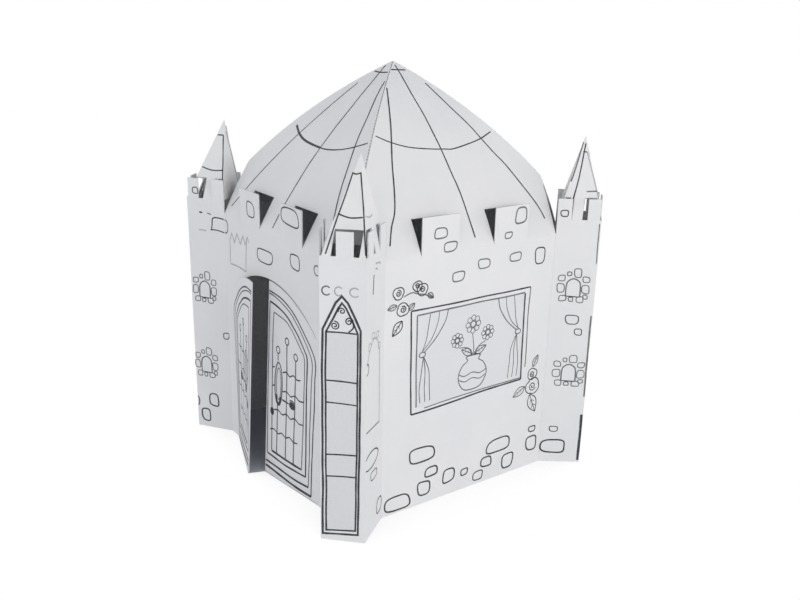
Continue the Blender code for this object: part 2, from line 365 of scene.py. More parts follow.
@dataclass
class Drawing:
    """The marks that are printed on one panel.

    A drawing is in millimetres, from a zero point on its panel, and may be printed mirrored.
    """

    name: str
    shape: Shape
    zero: Point = (0.0, 0.0)
    mirror: bool = False
    pen: float = 4.4
    marks: list[Mark] = field(default_factory=list)

    def line(self, points: Outline, tone: Tone = Tone.INK, width: float = 1.0, closed: bool = False) -> None:
        """Draw a smooth line through points, its width a multiple of the pen's."""
        self.marks.append(Mark(smooth(points, closed), tone, self.pen * width, closed))

    def ruled(
        self,
        points: Outline,
        tone: Tone = Tone.INK,
        width: float = 1.0,
        closed: bool = False,
    ) -> None:
        """Draw straight lines between points, their width a multiple of the pen's."""
        self.marks.append(Mark(straight(points, closed), tone, self.pen * width, closed))

    def patch(self, points: Outline, tone: Tone) -> None:
        """Fill a shape."""
        self.marks.append(Mark(points, tone, 0.0, True))

    def stone(
        self,
        u: float,
        v: float,
        half_u: float,
        half_v: float,
        tone: Tone = Tone.INK,
        weight: float = 1.0,
    ) -> None:
        """Draw a stone as a rounded, slightly uneven loop.

        Args:
            u: Its middle.
            v: Its middle's height.
            half_u: Half its width.
            half_v: Half its height.
            tone: How strongly it is printed.
            weight: How much wider than usual its line is.
        """
        two, three = STONE_UNEVEN
        points = []
        for step in range(STONE_POINTS):
            angle = math.tau * step / STONE_POINTS
            wide = math.copysign(abs(math.cos(angle)) ** STONE_CORNER, math.cos(angle))
            high = math.copysign(abs(math.sin(angle)) ** STONE_CORNER, math.sin(angle))
            uneven = 1.0 + two * math.sin(2 * angle + u) + three * math.sin(3 * angle + v)
            points.append((u + half_u * wide * uneven, v + half_v * high * uneven))
        width = weight if min(half_u, half_v) > SMALL_STONE else SMALL_STONE_LINE * weight
        self.line(points, tone, width, closed=True)

    def stones(self, places: tuple[StonePlace, ...], tone: Tone = Tone.INK, weight: float = 1.0) -> None:
        """Draw stones, each given by its middle and its half width and half height."""
        for place in places:
            self.stone(*place, tone, weight)

    def spiral(self, u: float, v: float, radius: float, start: float, turns: float, tone: Tone) -> None:
        """Draw a spiral that opens from its middle.

        Args:
            u: Its middle.
            v: Its middle's height.
            radius: Its outer radius.
            start: Where its outer end lies, in degrees from the right.
            turns: How many turns it makes, less than zero for clockwise ones.
            tone: How strongly it is printed.
        """
        points = []
        steps = max(6, round(abs(turns) * SPIRAL_POINTS))
        for step in range(steps + 1):
            share = step / steps
            angle = math.radians(start) - math.tau * turns * (1 - share)
            reach = radius * (SPIRAL_START + (1 - SPIRAL_START) * share)
            points.append((u + reach * math.cos(angle), v + reach * math.sin(angle)))
        self.line(points, tone, 0.8)

    def rose(self, u: float, v: float, radius: float, tone: Tone = Tone.INK) -> None:
        """Draw a rose as a curled heart with round petals about it.

        Args:
            u: Its middle.
            v: Its middle's height.
            radius: Its outer radius.
            tone: How strongly it is printed.
        """
        self.spiral(u, v, radius * ROSE_HEART, 40.0 + u, 1.6, tone)
        half_u, half_v = ROSE_PETAL_SIZE
        for petal in range(3):
            lean = ROSE_PETAL_TURN * petal + v
            middle = math.radians(lean)
            arc = oval(
                u + radius * ROSE_PETAL_MIDDLE * math.cos(middle),
                v + radius * ROSE_PETAL_MIDDLE * math.sin(middle),
                radius * half_u,
                radius * half_v,
                lean - ROSE_PETAL_ARC / 2,
                ROSE_PETAL_ARC,
            )
            self.line(arc, tone, 0.8)

    def leaf(self, base: Point, tip: Point, fat: float, tone: Tone = Tone.INK) -> None:
        """Draw a leaf with its middle rib and two pairs of veins.

        Args:
            base: Where it grows from.
            tip: Its tip.
            fat: Its half width as a share of its length.
            tone: How strongly it is printed.
        """
        start, end = Vector(base), Vector(tip)
        along = end - start
        side = Vector((-along.y, along.x)) * fat
        for way in (1, -1):
            bulges = [start + along * far + side * out * way for far, out in LEAF_BULGES]
            self.line([(point.x, point.y) for point in (start, *bulges, end)], tone, 0.8)
            for place in LEAF_VEINS:
                vein_end = start + along * (place + LEAF_VEIN_RUN) + side * LEAF_VEIN_REACH * way
                vein = (start + along * place, vein_end)
                self.ruled([(point.x, point.y) for point in vein], tone, 0.55)
        self.line([base, (start.x + along.x * 0.5, start.y + along.y * 0.5 + 1.0), tip], tone, 0.7)

    def ring_window(self, u: float, v: float, spread: float, tone: Tone) -> None:
        """Draw a small arched window with a ring of stones about it.

        Args:
            u: The opening's middle.
            v: The height of the opening's middle.
            spread: Its width as a share of the usual one.
            tone: How strongly the stones are printed.
        """
        arch = [(-25, -33), (-25, 0), (-20, 20), (0, 31), (20, 20), (25, 0), (25, -33)]
        self.line([(u + x * spread, v + y) for x, y in arch], tone, 1.1)
        self.ruled([(u - 25 * spread, v - 32), (u + 25 * spread, v - 34)], Tone.INK, 0.9)
        for x, y, half_u, half_v in RING_STONES:
            self.stone(u + x * spread, v + y, half_u * spread, half_v, tone)

    def place(self, u: float, v: float, lift: float) -> Vector:
        """Place a point of the drawing, a little proud of the board.

        Args:
            u: How far right it is drawn.
            v: How high it is drawn.
            lift: How far it lies off the board.

        Returns:
            The point, on the folded panel before the sheet's turn.
        """
        across = (-u if self.mirror else u) + self.zero[0]
        wander = Vector((across, v + self.zero[1], 0.0)) * (HAND_WAVES / MILLIMETRES)
        across += HAND_SWAY * noise.noise(wander)
        rise = v + self.zero[1] + HAND_SWAY * noise.noise(wander + HAND_OFFSET)
        across, rise = across / MILLIMETRES, rise / MILLIMETRES
        return self.shape.place(across, rise) + self.shape.normal(across, rise) * lift

    def sides(self, mark: Mark) -> tuple[Outline, Outline]:
        """Give a line its width, narrower at its ends.

        Args:
            mark: The line.

        Returns:
            Its left and its right edge.
        """
        points = [Vector(point) for point in mark.points]
        count = len(points)
        left, right = [], []
        for index, point in enumerate(points):
            if mark.closed:
                before, after = points[index - 1], points[(index + 1) % count]
            else:
                before, after = points[max(index - 1, 0)], points[min(index + 1, count - 1)]
            way_in = (point - before).normalized() if point != before else (after - point).normalized()
            way_out = (after - point).normalized() if after != point else way_in
            along = way_in + way_out
            if along.length < 0.001:
                along = way_in
            along.normalize()
            corner = min(1.0 / max(along.dot(way_in), PEN_SHARPEST), PEN_WIDEST)
            unsteady = noise.noise(Vector((point.x, point.y, 3.0)) / PEN_VARIES_OVER)
            half = mark.width / 2 * corner * (1.0 + PEN_VARIES * unsteady)
            if not mark.closed and index in (0, count - 1):
                half *= PEN_END
            side = Vector((-along.y, along.x)) * half
            left.append((point + side).to_tuple())
            right.append((point - side).to_tuple())
        return left, right

    def add_line(self, print_mesh: bmesh.types.BMesh, mark: Mark) -> None:
        """Lay a line on the panel as a thin strip.

        Args:
            print_mesh: The mesh that the strip becomes part of.
            mark: The line.
        """
        lift = LIFTS[mark.tone]
        left, right = self.sides(mark)
        if self.mirror:
            left, right = right, left
        left_verts = [print_mesh.verts.new(self.place(*point, lift)) for point in left]
        right_verts = [print_mesh.verts.new(self.place(*point, lift)) for point in right]
        count = len(left)
        for index in range(count if mark.closed else count - 1):
            following = (index + 1) % count
            corners = (right_verts[index], right_verts[following], left_verts[following], left_verts[index])
            face = print_mesh.faces.new(corners)
            face.material_index = TONES.index(mark.tone)

    def add_patch(self, print_mesh: bmesh.types.BMesh, mark: Mark) -> None:
        """Lay a filled shape on the panel.

        Args:
            print_mesh: The mesh that the shape becomes part of.
            mark: The shape.
        """
        lift = LIFTS[mark.tone]
        fill = flat_mesh(mark.points)
        verts = [print_mesh.verts.new(self.place(vert.co.x, vert.co.y, lift)) for vert in fill.vertices]
        for polygon in fill.polygons:
            corners = [verts[index] for index in polygon.vertices]
            face = print_mesh.faces.new(reversed(corners) if self.mirror else corners)
            face.material_index = TONES.index(mark.tone)
        bpy.data.meshes.remove(fill)

    def build(self, turn: Matrix, inks: list[bpy.types.Material]) -> bpy.types.Object:
        """Print the drawing.

        Args:
            turn: The turn of the sheet that it is printed on.
            inks: The printings' materials, in the order of the tones.

        Returns:
            The printed marks as one piece.
        """
        print_mesh = bmesh.new()
        for mark in self.marks:
            if mark.width:
                self.add_line(print_mesh, mark)
            else:
                self.add_patch(print_mesh, mark)
        bmesh.ops.transform(print_mesh, matrix=turn, verts=print_mesh.verts)
        mesh = bpy.data.meshes.new(self.name)
        print_mesh.to_mesh(mesh)
        print_mesh.free()
        for ink in inks:
            mesh.materials.append(ink)
        return show(self.name, mesh)


class Nodes:
    """A short way to write a material's node tree."""

    def __init__(self, name: str) -> None:
        """Make a new material with a Principled shader.

        Args:
            name: The material's name.
        """
        self.material = bpy.data.materials.new(name)
        self.material.use_nodes = True
        self.tree = self.material.node_tree
        self.shader = self.tree.nodes["Principled BSDF"]

    def add(self, kind: str, **settings: object) -> bpy.types.Node:
        """Add a node.

        Args:
            kind: The node's type.
            **settings: Its properties, or the values of its input sockets by name.

        Returns:
            The node.
        """
        node = self.tree.nodes.new(kind)
        for key, value in settings.items():
            if hasattr(node, key):
                setattr(node, key, value)
            else:
                node.inputs[key.replace("_", " ")].default_value = value
        return node

    def link(self, output: bpy.types.NodeSocket, target: bpy.types.NodeSocket) -> None:
        """Join an output to an input."""
        self.tree.links.new(output, target)

    def noise(self, source: bpy.types.NodeSocket, scale: float, detail: float) -> bpy.types.NodeSocket:
        """Add noise and return its value, from 0 to 1.

        Args:
            source: The coordinates that the noise is read at.
            scale: How fine it is, in lumps per metre.
            detail: How many octaves it has.

        Returns:
            The noise's value.
        """
        node = self.add("ShaderNodeTexNoise", Scale=scale, Detail=detail)
        self.link(source, node.inputs["Vector"])
        return node.outputs["Fac"]

    def ramp(self, source: bpy.types.NodeSocket, stops: Stops) -> bpy.types.NodeSocket:
        """Colour a value by a ramp.

        Args:
            source: The value.
            stops: Each stop's place and colour.

        Returns:
            The colour.
        """
        node = self.add("ShaderNodeValToRGB")
        band = node.color_ramp
        while len(band.elements) < len(stops):
            band.elements.new(0.5)
        for element, (place, colour) in zip(band.elements, stops):
            element.position = place
            element.color = (*colour, 1.0)
        self.link(source, node.inputs["Fac"])
        return node.outputs["Color"]

    def flutes(self, distortion: float) -> bpy.types.NodeSocket:
        """Add the waves of the board's core, which follow its flat map.

        Args:
            distortion: How uneven they are.

        Returns:
            The waves' value, from 0 to 1.
        """
        flat = self.add("ShaderNodeUVMap", uv_map=FLAT_MAP).outputs["UV"]
        wave = self.add("ShaderNodeTexWave", wave_type="BANDS", bands_direction="X", Distortion=distortion)
        wave.inputs["Scale"].default_value = math.pi / (WAVES_IN_PI * FLUTE_PITCH)
        self.link(flat, wave.inputs["Vector"])
        return wave.outputs["Fac"]

    def bump(self, height: bpy.types.NodeSocket, distance: float, strength: float) -> None:
        """Roughen the shader's surface by a height.

        Args:
            height: The height's value, from 0 to 1.
            distance: The highest bump, in metres.
            strength: How strongly it shows.
        """
        node = self.add("ShaderNodeBump", Distance=distance, Strength=strength)
        self.link(height, node.inputs["Height"])
        self.link(node.outputs["Normal"], self.shader.inputs["Normal"])

    def finish(self, roughness: float, specular: float | None = None) -> None:
        """Set the shader's roughness, and its specular level where it isn't the usual one.

        Args:
            roughness: The roughness.
            specular: The specular level.
        """
        self.shader.inputs["Roughness"].default_value = roughness
        if specular is not None:
            self.shader.inputs["Specular IOR Level"].default_value = specular


@dataclass(frozen=True)
class PrintedFace:
    """The smooth white face of the board, with the flutes of its core just showing through."""

    colour: Colour = (0.850, 0.848, 0.840)
    aged: Colour = (0.822, 0.822, 0.818)
    roughness: float = 0.62
    specular: float = 0.35
    flute_depth: float = 0.00006

    def material(self) -> bpy.types.Material:
        """Make the material.

        Returns:
            The new material.
        """
        nodes = Nodes("printed_face")
        place = nodes.add("ShaderNodeTexCoord").outputs["Object"]
        blotch = nodes.noise(place, scale=5.0, detail=3.0)
        colour = nodes.ramp(blotch, ((0.35, self.aged), (0.62, self.colour)))
        nodes.link(colour, nodes.shader.inputs["Base Color"])
        nodes.finish(self.roughness, self.specular)
        nodes.bump(nodes.flutes(distortion=0.0), self.flute_depth, strength=0.6)
        return nodes.material


@dataclass(frozen=True)
class PlainBack:
    """The unprinted back of the board, one plain colour with a faint fibre."""

    colour: Colour = (0.780, 0.790, 0.800)
    fibre: float = 0.90
    fibre_depth: float = 0.0001
    roughness: float = 0.85

    def material(self) -> bpy.types.Material:
        """Make the material.

        Returns:
            The new material.
        """
        nodes = Nodes("board_back")
        place = nodes.add("ShaderNodeTexCoord").outputs["Object"]
        darker = tuple(self.fibre * value for value in self.colour)
        fibres = nodes.noise(place, scale=90.0, detail=6.0)
        speckled = nodes.ramp(fibres, ((0.35, darker), (0.65, self.colour)))
        nodes.link(speckled, nodes.shader.inputs["Base Color"])
        nodes.finish(self.roughness)
        nodes.bump(nodes.noise(place, scale=700.0, detail=2.0), self.fibre_depth, strength=0.5)
        return nodes.material


@dataclass(frozen=True)
class CutEdge:
    """The cut edge of the board, where the core's waves show between the two faces, with painted shade for
    the dark hollows between the waves.
    """

    liner: Colour = (0.80, 0.80, 0.79)
    hollow_shade: Colour = (0.52, 0.52, 0.52)
    core_depth: float = 0.0006
    roughness: float = 0.9

    def material(self) -> bpy.types.Material:
        """Make the material.

        Returns:
            The new material.
        """
        nodes = Nodes("cut_edge")
        waves = nodes.flutes(distortion=1.5)
        # The darker bands are painted shade in the open hollows of the core, between the lighter liners
        colour = nodes.ramp(waves, ((0.15, self.hollow_shade), (0.55, self.liner)))
        nodes.link(colour, nodes.shader.inputs["Base Color"])
        nodes.finish(self.roughness)
        nodes.bump(waves, self.core_depth, strength=0.6)
        return nodes.material


@dataclass(frozen=True)
class Printing:
    """Printed marks: charcoal lines, soft or faint ones, and pale tints."""

    tone: Tone
    dark: Colour
    pale: Colour
    roughness: float = 0.55
    specular: float = 0.35

    def material(self) -> bpy.types.Material:
        """Make the material, with the uneven cover of thin ink on board.

        Returns:
            The new material.
        """
        nodes = Nodes(f"print_{self.tone.value}")
        place = nodes.add("ShaderNodeTexCoord").outputs["Object"]
        cover = nodes.noise(place, scale=160.0, detail=4.0)
        ink = nodes.ramp(cover, ((0.40, self.dark), (0.75, self.pale)))
        nodes.link(ink, nodes.shader.inputs["Base Color"])
        nodes.finish(self.roughness, self.specular)
        return nodes.material


PRINTINGS = (
    Printing(Tone.INK, (0.035, 0.036, 0.040), (0.110, 0.112, 0.118)),
    Printing(Tone.SOFT, (0.140, 0.142, 0.148), (0.250, 0.252, 0.256)),
    Printing(Tone.FAINT, (0.430, 0.432, 0.436), (0.560, 0.562, 0.564)),
    Printing(Tone.TINT, (0.745, 0.748, 0.752), (0.775, 0.778, 0.780)),
    Printing(Tone.PALE, (0.780, 0.782, 0.780), (0.800, 0.802, 0.798)),
)


@dataclass
class Castle:
    """The sizes that all four sheets are folded from."""

    board: float = 0.004
    gap: float = 0.0003
    cut: float = 0.001
    reach: float = 0.480
    wall_width: float = 0.698
    wall_height: float = 0.858
    wall_merlon_width: float = 0.143
    wall_merlon_height: float = 0.117
    wall_merlon_space: float = 0.148
    apex: float = 1.402
    bow: float = 0.044
    corner_cut: float = 0.002
    shoulder: float = 0.365
    rows: int = 36
    tower_side: float = 0.1497
    tower_splay: float = math.radians(36.0)
    tower_height: float = 0.907
    tower_merlon_height: float = 0.071
    inner_merlon: float = 0.048
    outer_merlon: float = 0.042
    front_merlon_width: float = 0.050
    front_merlon_shift: float = 0.004
    side_slot: float = 0.018
    front_slot: float = 0.016
    corner_relief: float = 0.006
    room_relief: float = 0.008
    spire_height: float = 0.273
    spire_reach: float = 0.449
    hole_rise: float = 0.001
    door_width: float = 0.600
    door_spring: float = 0.588
    door_rise: float = 0.114
    door_steps: int = 48
    leaf_cut: float = 0.002
    leaf_floor_gap: float = 0.003
    leaf_rows: int = 42

    @property
    def half_wall(self) -> float:
        """Half a wall's width."""
        return self.wall_width / 2

    @property
    def roof(self) -> Bow:
        """The bend of the roof panels."""
        return Bow(self.reach, self.wall_height, self.apex, self.bow)

    @property
    def wall(self) -> Plane:
        """The plane of the wall."""
        return Plane(Vector((0.0, -self.reach, 0.0)), Vector((1.0, 0.0, 0.0)))

    def corners(self) -> tuple[Vector, Vector, Vector, Vector]:
        """Find the tower's corners on the floor.

        Returns:
            The inner and the outer one by the wall, then the other two, mirrored.
        """
        inner = Vector((-self.half_wall, -self.reach, 0.0))
        side = Vector((math.cos(self.tower_splay), math.sin(self.tower_splay), 0.0)) * self.tower_side
        outer = inner - side
        far_outer = Vector((outer.y, outer.x, 0.0))
        far_inner = Vector((inner.y, inner.x, 0.0))
        return inner, outer, far_outer, far_inner

    def front_width(self) -> float:
        """Return the width of a tower's front face."""
        _, outer, far_outer, _ = self.corners()
        return (outer - far_outer).length

    def near_plane(self) -> Plane:
        """Return the plane of the tower's side face next to the wall."""
        inner, outer, _, _ = self.corners()
        return Plane(outer, (inner - outer).normalized())

    def front_plane(self) -> Plane:
        """Return the plane of the tower's front face."""
        _, outer, far_outer, _ = self.corners()
        return Plane(far_outer, (outer - far_outer).normalized())

    def far_plane(self) -> Plane:
        """Return the plane of the tower's side face away from the wall."""
        _, _, far_outer, far_inner = self.corners()
        return Plane(far_inner, (far_outer - far_inner).normalized())

    def leaf(self, side: int, swings: Point) -> Leaf:
        """Return a door leaf's place.

        Args:
            side: -1 for the left leaf and 1 for the right one.
            swings: How far it stands open at its foot and at its top, in radians.

        Returns:
            The place, its zero point at the foot of the hinge fold.
        """
        hinge = Vector((side * self.door_width / 2, -self.reach, 0.0))
        return Leaf(side, hinge, *swings, self.door_spring + self.door_rise)

    def hinge_heights(self) -> list[float]:
        """Divide a hinge fold into the rows at which a leaf bends.

        Returns:
            The rows' heights, the fold's two ends among them.
        """
        foot = self.leaf_floor_gap
        top = self.arch(self.leaf_cut, self.door_width / 2, 0.0)[0][1]
        return [foot + (top - foot) * row / self.leaf_rows for row in range(self.leaf_rows + 1)]

    def arch(self, cut: float, right_u: float, left_u: float) -> Outline:
        """Return the doorway's arch.

        Args:
            cut: How far it is drawn in.
            right_u: Where it starts.
            left_u: Where it ends.

        Returns:
            The arch's points, from right to left.
        """
        half = self.door_width / 2
        radius = (half**2 + self.door_rise**2) / (2 * self.door_rise)
        centre = self.door_spring + self.door_rise - radius
        radius -= cut
        start = math.asin(right_u / radius)
        turn = math.asin(left_u / radius) - start
        steps = max(1, round(self.door_steps * abs(right_u - left_u) / self.door_width))
        angles = [start + turn * step / steps for step in range(steps + 1)]
        return [(radius * math.sin(angle), centre + radius * math.cos(angle)) for angle in angles]

    def wall_outline(self, has_door: bool) -> Outline:
        """Draw a wall with its two merlons.

        Args:
            has_door: Whether the doorway is cut through it.

        Returns:
            The flat outline, anticlockwise from the bottom left corner.
        """
        left = -self.half_wall
        right = self.half_wall - self.gap
        outline = [(left, 0.0)]
        if has_door:
            half = self.door_width / 2
            hinge = self.hinge_heights()
            outline += [(-half, 0.0)] + [(-half, height) for height in hinge]
            outline += reversed(self.arch(0.0, half, -half))
            outline += [(half, height) for height in reversed(hinge)] + [(half, 0.0)]
        base = self.wall_height
        outline += [(right, 0.0), (right, base), (self.half_wall - self.corner_cut, base)]
        top = base + self.wall_merlon_height
        space = self.wall_merlon_space / 2
        for inner in (space, -space - self.wall_merlon_width):
            outer = inner + self.wall_merlon_width
            outline += [(outer + self.cut, base), (outer, base), (outer, top)]
            outline += [(inner, top), (inner, base), (inner - self.cut, base)]
        outline += [(-self.half_wall + self.corner_cut, base), (left, base)]
        return outline

    def roof_half_width(self, v: float) -> float:
        """Return half a roof panel's width along its hips."""
        roof = self.roof
        return self.reach - roof.inward(v) - self.board * math.sin(roof.slope(v)) - self.gap

    def find_row(self, width: float, low: float) -> float:
        """Find how far up the bend the hips have closed to a half width.

        Args:
            width: The half width.
            low: A place on the bend that is known to lie below it.

        Returns:
            The distance up the bend.
        """
        high = self.roof.length
        for _ in range(HALVINGS):
            middle = (low + high) / 2
            if self.roof_half_width(middle) > width:
                low = middle
            else:
                high = middle
        return low

    def roof_outline(self) -> tuple[Outline, list[float]]:
        """Draw a roof panel with a hole behind each merlon.

        Returns:
            The flat outline, and the rows at which it bends.
        """
        shoulder = self.find_row(self.shoulder, 0.0)
        tip = self.find_row(0.0, shoulder)
        rows = [tip * row / self.rows for row in range(1, self.rows)]
        half_base = self.half_wall - self.corner_cut
        hole_top = self.wall_merlon_height + self.cut
        space = self.wall_merlon_space / 2
        outline = [(-half_base, 0.0)]
        for inner in (-space - self.wall_merlon_width, space):
            left = inner - self.cut
            right = inner + self.wall_merlon_width + self.cut
            outline += [(left, 0.0), (left, hole_top), (right, hole_top), (right, 0.0)]
        outline.append((half_base, 0.0))
        hips = [(self.roof_half_width(shoulder), shoulder)]
        hips += [(self.roof_half_width(row), row) for row in rows if row > shoulder]
        outline += hips
        outline.append((0.0, tip))
        outline += [(-u, v) for u, v in reversed(hips)]
        return outline, rows

    def leaf_outline(self, side: int) -> tuple[Outline, list[float]]:
        """Draw a door leaf, from its hinge fold to the cut in the middle.

        Args:
            side: -1 for the left leaf and 1 for the right one.

        Returns:
            The flat outline, and the rows at which it bends.
        """
        half = self.door_width / 2
        middle = side * self.leaf_cut / 2
        hinge = self.hinge_heights()
        outline = [(side * half, height) for height in hinge[:-1]]
        outline += self.arch(self.leaf_cut, side * half, middle)
        outline.append((middle, self.leaf_floor_gap))
        if side < 0:
            outline.reverse()
        return [(u - side * half, v) for u, v in outline], hinge[1:]

    def side_outline(self, wall_fold: bool) -> Outline:
        """Draw a tower's side face with its two merlons.

        Args:
            wall_fold: Whether it has a corner where the wall's top meets it.

        Returns:
            The flat outline, the tower's outer corner at u = 0.
        """
        end = self.tower_side
        base = self.tower_height
        top = base + self.tower_merlon_height
        outer = self.corner_relief + self.outer_merlon
        inner = end - self.inner_merlon
        outline = [(0.0, 0.0), (end, 0.0)]
        if wall_fold:
            outline.append((end, self.wall_height))
        outline += [(end, top), (inner, top), (inner, base), (inner - self.cut, base)]
        outline += [(outer + self.side_slot, base), (outer, base), (outer, top)]
        outline += [(self.corner_relief, top), (self.corner_relief, base), (0.0, base)]
        return outline

    def front_merlon(self) -> Point:
        """Return the left and right ends of the merlon on a tower's front face."""
        middle = self.front_width() / 2 + self.front_merlon_shift
        return middle - self.front_merlon_width / 2, middle + self.front_merlon_width / 2

    def front_outline(self) -> Outline:
        """Draw a tower's front face with its one merlon.

        Returns:
            The flat outline.
        """
        width = self.front_width()
        base = self.tower_height
        top = base + self.tower_merlon_height
        left, right = self.front_merlon()
        outline = [(0.0, 0.0), (width, 0.0), (width, base), (width - self.corner_relief, base)]
        outline += [(right + self.front_slot, base), (right, base), (right, top)]
        outline += [(left, top), (left, base), (left - self.front_slot, base)]
        outline += [(self.corner_relief, base), (0.0, base)]
        return outline


def mirrored(outline: Outline, width: float) -> Outline:
    """Return an outline mirrored left to right within its width."""
    return [(width - u, v) for u, v in reversed(outline)]


@dataclass(frozen=True)
class SpireFace:
    """One face of a spire, between two corners at the top of the tower and the leaning apex."""

    left: Vector
    right: Vector
    apex: Vector
    lean: Vector

    @property
    def along(self) -> Vector:
        """The direction of the face's foot."""
        return (self.right - self.left).normalized()

    @property
    def width(self) -> float:
        """The width of the face at its foot."""
        return (self.right - self.left).length

    @property
    def tip(self) -> Point:
        """The apex in the flat outline.

        Returns:
            How far right of the left corner it lies, and how high.
        """
        to_apex = self.apex - self.left
        across = to_apex.dot(self.along)
        return across, (to_apex - self.along * across).length

    @property
    def plane(self) -> Plane:
        """The plane of the face, its zero point at the left corner."""
        across, up = self.tip
        return Plane(self.left, self.along, (self.apex + self.lean - self.left - self.along * across) / up)

    def edges(self, share: float) -> tuple[float, float, float]:
        """Return the left edge, the right edge and the height at a share of the way up."""
        across, up = self.tip
        return across * share, self.width - (self.width - across) * share, up * share

    def outline(self, feet: list[Point], hole_share: float) -> Outline:
        """Return the face above its feet.

        Args:
            feet: Each foot's two ends at the fold.
            hole_share: How far up the holes between the feet reach.

        Returns:
            The flat outline.
        """
        left_u, right_u, hole = self.edges(hole_share)
        points = []
        for start, end in feet:
            points += [(start, hole), (start, 0.0), (end, 0.0), (end, hole)]
        points = [(u, v) for u, v in points if v < hole or left_u < u < right_u]
        return [(left_u, hole)] + points + [(right_u, hole), self.tip]


@dataclass
class Sheet:
    """One folded sheet: a wall, its roof panel, and the tower with its spire at the wall's left end."""

    name: str
    quarter_turns: int
    castle: Castle
    lean: Vector
    left_swings: Point = (0.0, 0.0)
    right_swings: Point = (0.0, 0.0)
    has_door: bool = False

    @property
    def turn(self) -> Matrix:
        """The turn that puts the sheet in its place."""
        return Matrix.Rotation(math.radians(90.0) * self.quarter_turns, 4, "Z")

    def room_floor(self) -> Outline:
        """Outline the floor that the walls and the door leaves close off.

        Returns:
            The outline's points, anticlockwise seen from above.
        """
        castle = self.castle
        half = castle.half_wall
        side = castle.reach - castle.board
        outline = [(side, half), (half, side), (-half, side), (-side, half), (-side, -half), (-half, -side)]
        for side_way, swings in ((-1, self.left_swings), (1, self.right_swings)):
            leaf = castle.leaf(side_way, swings)
            ends = [leaf.place(0.0, 0.0), leaf.place(-side_way * castle.door_width / 2, 0.0)]
            outline += [(end.x, end.y) for end in (ends if side_way < 0 else reversed(ends))]
        return outline + [(half, -side), (side, -half)]

    def spire_faces(self) -> list[tuple[SpireFace, list[Point]]]:
        """Find the spire's faces and the feet that each stands on.

        Returns:
            The near, the front, the far and the room's face, each with its feet.
        """
        castle = self.castle
        top = UP * castle.tower_height
        inner, outer, far_outer, far_inner = [corner + top for corner in castle.corners()]
        apex = Vector((-castle.spire_reach, -castle.spire_reach, castle.tower_height + castle.spire_height))
        lean = self.turn.to_3x3().inverted() @ self.lean
        foot_start = castle.corner_relief + castle.outer_merlon + castle.side_slot
        foot_end = castle.tower_side - castle.inner_merlon - castle.cut
        far_foot = (castle.tower_side - foot_end, castle.tower_side - foot_start)
        width = castle.front_width()
        left, right = castle.front_merlon()
        front_feet = [
            (castle.corner_relief, left - castle.front_slot),
            (right + castle.front_slot, width - castle.corner_relief),
        ]
        room_width = (far_inner - inner).length
        room_foot = (castle.room_relief, room_width - castle.room_relief)
        return [
            (SpireFace(outer, inner, apex, lean), [(foot_start, foot_end)]),
            (SpireFace(far_outer, outer, apex, lean), front_feet),
            (SpireFace(far_inner, far_outer, apex, lean), [far_foot]),
            (SpireFace(inner, far_inner, apex, lean), [room_foot]),
        ]

    def add_panel(
        self,
        sheet: bmesh.types.BMesh,
        outline: Outline,
        shape: Shape,
        rows: tuple[float, ...] | list[float] = (),
    ) -> None:
        """Cut a panel from its outline, keep its flat places as its map and fold it to its shape.

        Args:
            sheet: The sheet that it becomes part of.
            outline: Its flat outline.
            shape: Where it is folded to.
            rows: The heights at which it bends.
        """
        mesh = flat_mesh(outline)
        panel = bmesh.new()
        panel.from_mesh(mesh)
        for row in rows:
            everything = panel.verts[:] + panel.edges[:] + panel.faces[:]
            height = (0.0, row, 0.0)
            bmesh.ops.bisect_plane(panel, geom=everything, plane_co=height, plane_no=(0.0, 1.0, 0.0))
        flat = panel.loops.layers.uv.new(FLAT_MAP)
        for face in panel.faces:
            for loop in face.loops:
                loop[flat].uv = (loop.vert.co.x, loop.vert.co.y)
        for vert in panel.verts:
            vert.co = shape.place(vert.co.x, vert.co.y)
        panel.to_mesh(mesh)
        panel.free()
        sheet.from_mesh(mesh)
        bpy.data.meshes.remove(mesh)

    def build(self) -> bpy.types.Object:
        """Fold the sheet and give the board its thickness.

        Returns:
            The sheet as one piece.
        """
        castle = self.castle
        sheet = bmesh.new()
        sheet.loops.layers.uv.new(FLAT_MAP)
        self.add_panel(sheet, castle.wall_outline(self.has_door), castle.wall)
        if self.has_door:
            for side, swings in ((-1, self.left_swings), (1, self.right_swings)):
                outline, rows = castle.leaf_outline(side)
                self.add_panel(sheet, outline, castle.leaf(side, swings), rows)
        outline, rows = castle.roof_outline()
        self.add_panel(sheet, outline, castle.roof, rows)
        self.add_panel(sheet, castle.side_outline(True), castle.near_plane())
        self.add_panel(sheet, castle.front_outline(), castle.front_plane())
        far = mirrored(castle.side_outline(False), castle.tower_side)
        self.add_panel(sheet, far, castle.far_plane())
        hole_share = (castle.tower_merlon_height + castle.hole_rise) / castle.spire_height
        for face, feet in self.spire_faces():
            self.add_panel(sheet, face.outline(feet, hole_share), face.plane)
        bmesh.ops.remove_doubles(sheet, verts=sheet.verts, dist=WELD)
        bmesh.ops.transform(sheet, matrix=self.turn, verts=sheet.verts)
        mesh = bpy.data.meshes.new(f"{self.name}_board")
        sheet.to_mesh(mesh)
        sheet.free()
        made = show(f"{self.name}_board", mesh)
        self.thicken(made)
        return made

    def thicken(self, made: bpy.types.Object) -> None:
        """Give the board its thickness, with its back and its edges as their own materials.

        Args:
            made: The sheet.
        """
        solid = made.modifiers.new("board", "SOLIDIFY")
        solid.solidify_mode = "NON_MANIFOLD"
        solid.nonmanifold_thickness_mode = "CONSTRAINTS"
        solid.nonmanifold_boundary_mode = "ROUND"
        solid.nonmanifold_merge_threshold = WELD
        solid.thickness = self.castle.board
        solid.offset = -1.0
        solid.material_offset = 1
        solid.material_offset_rim = 2

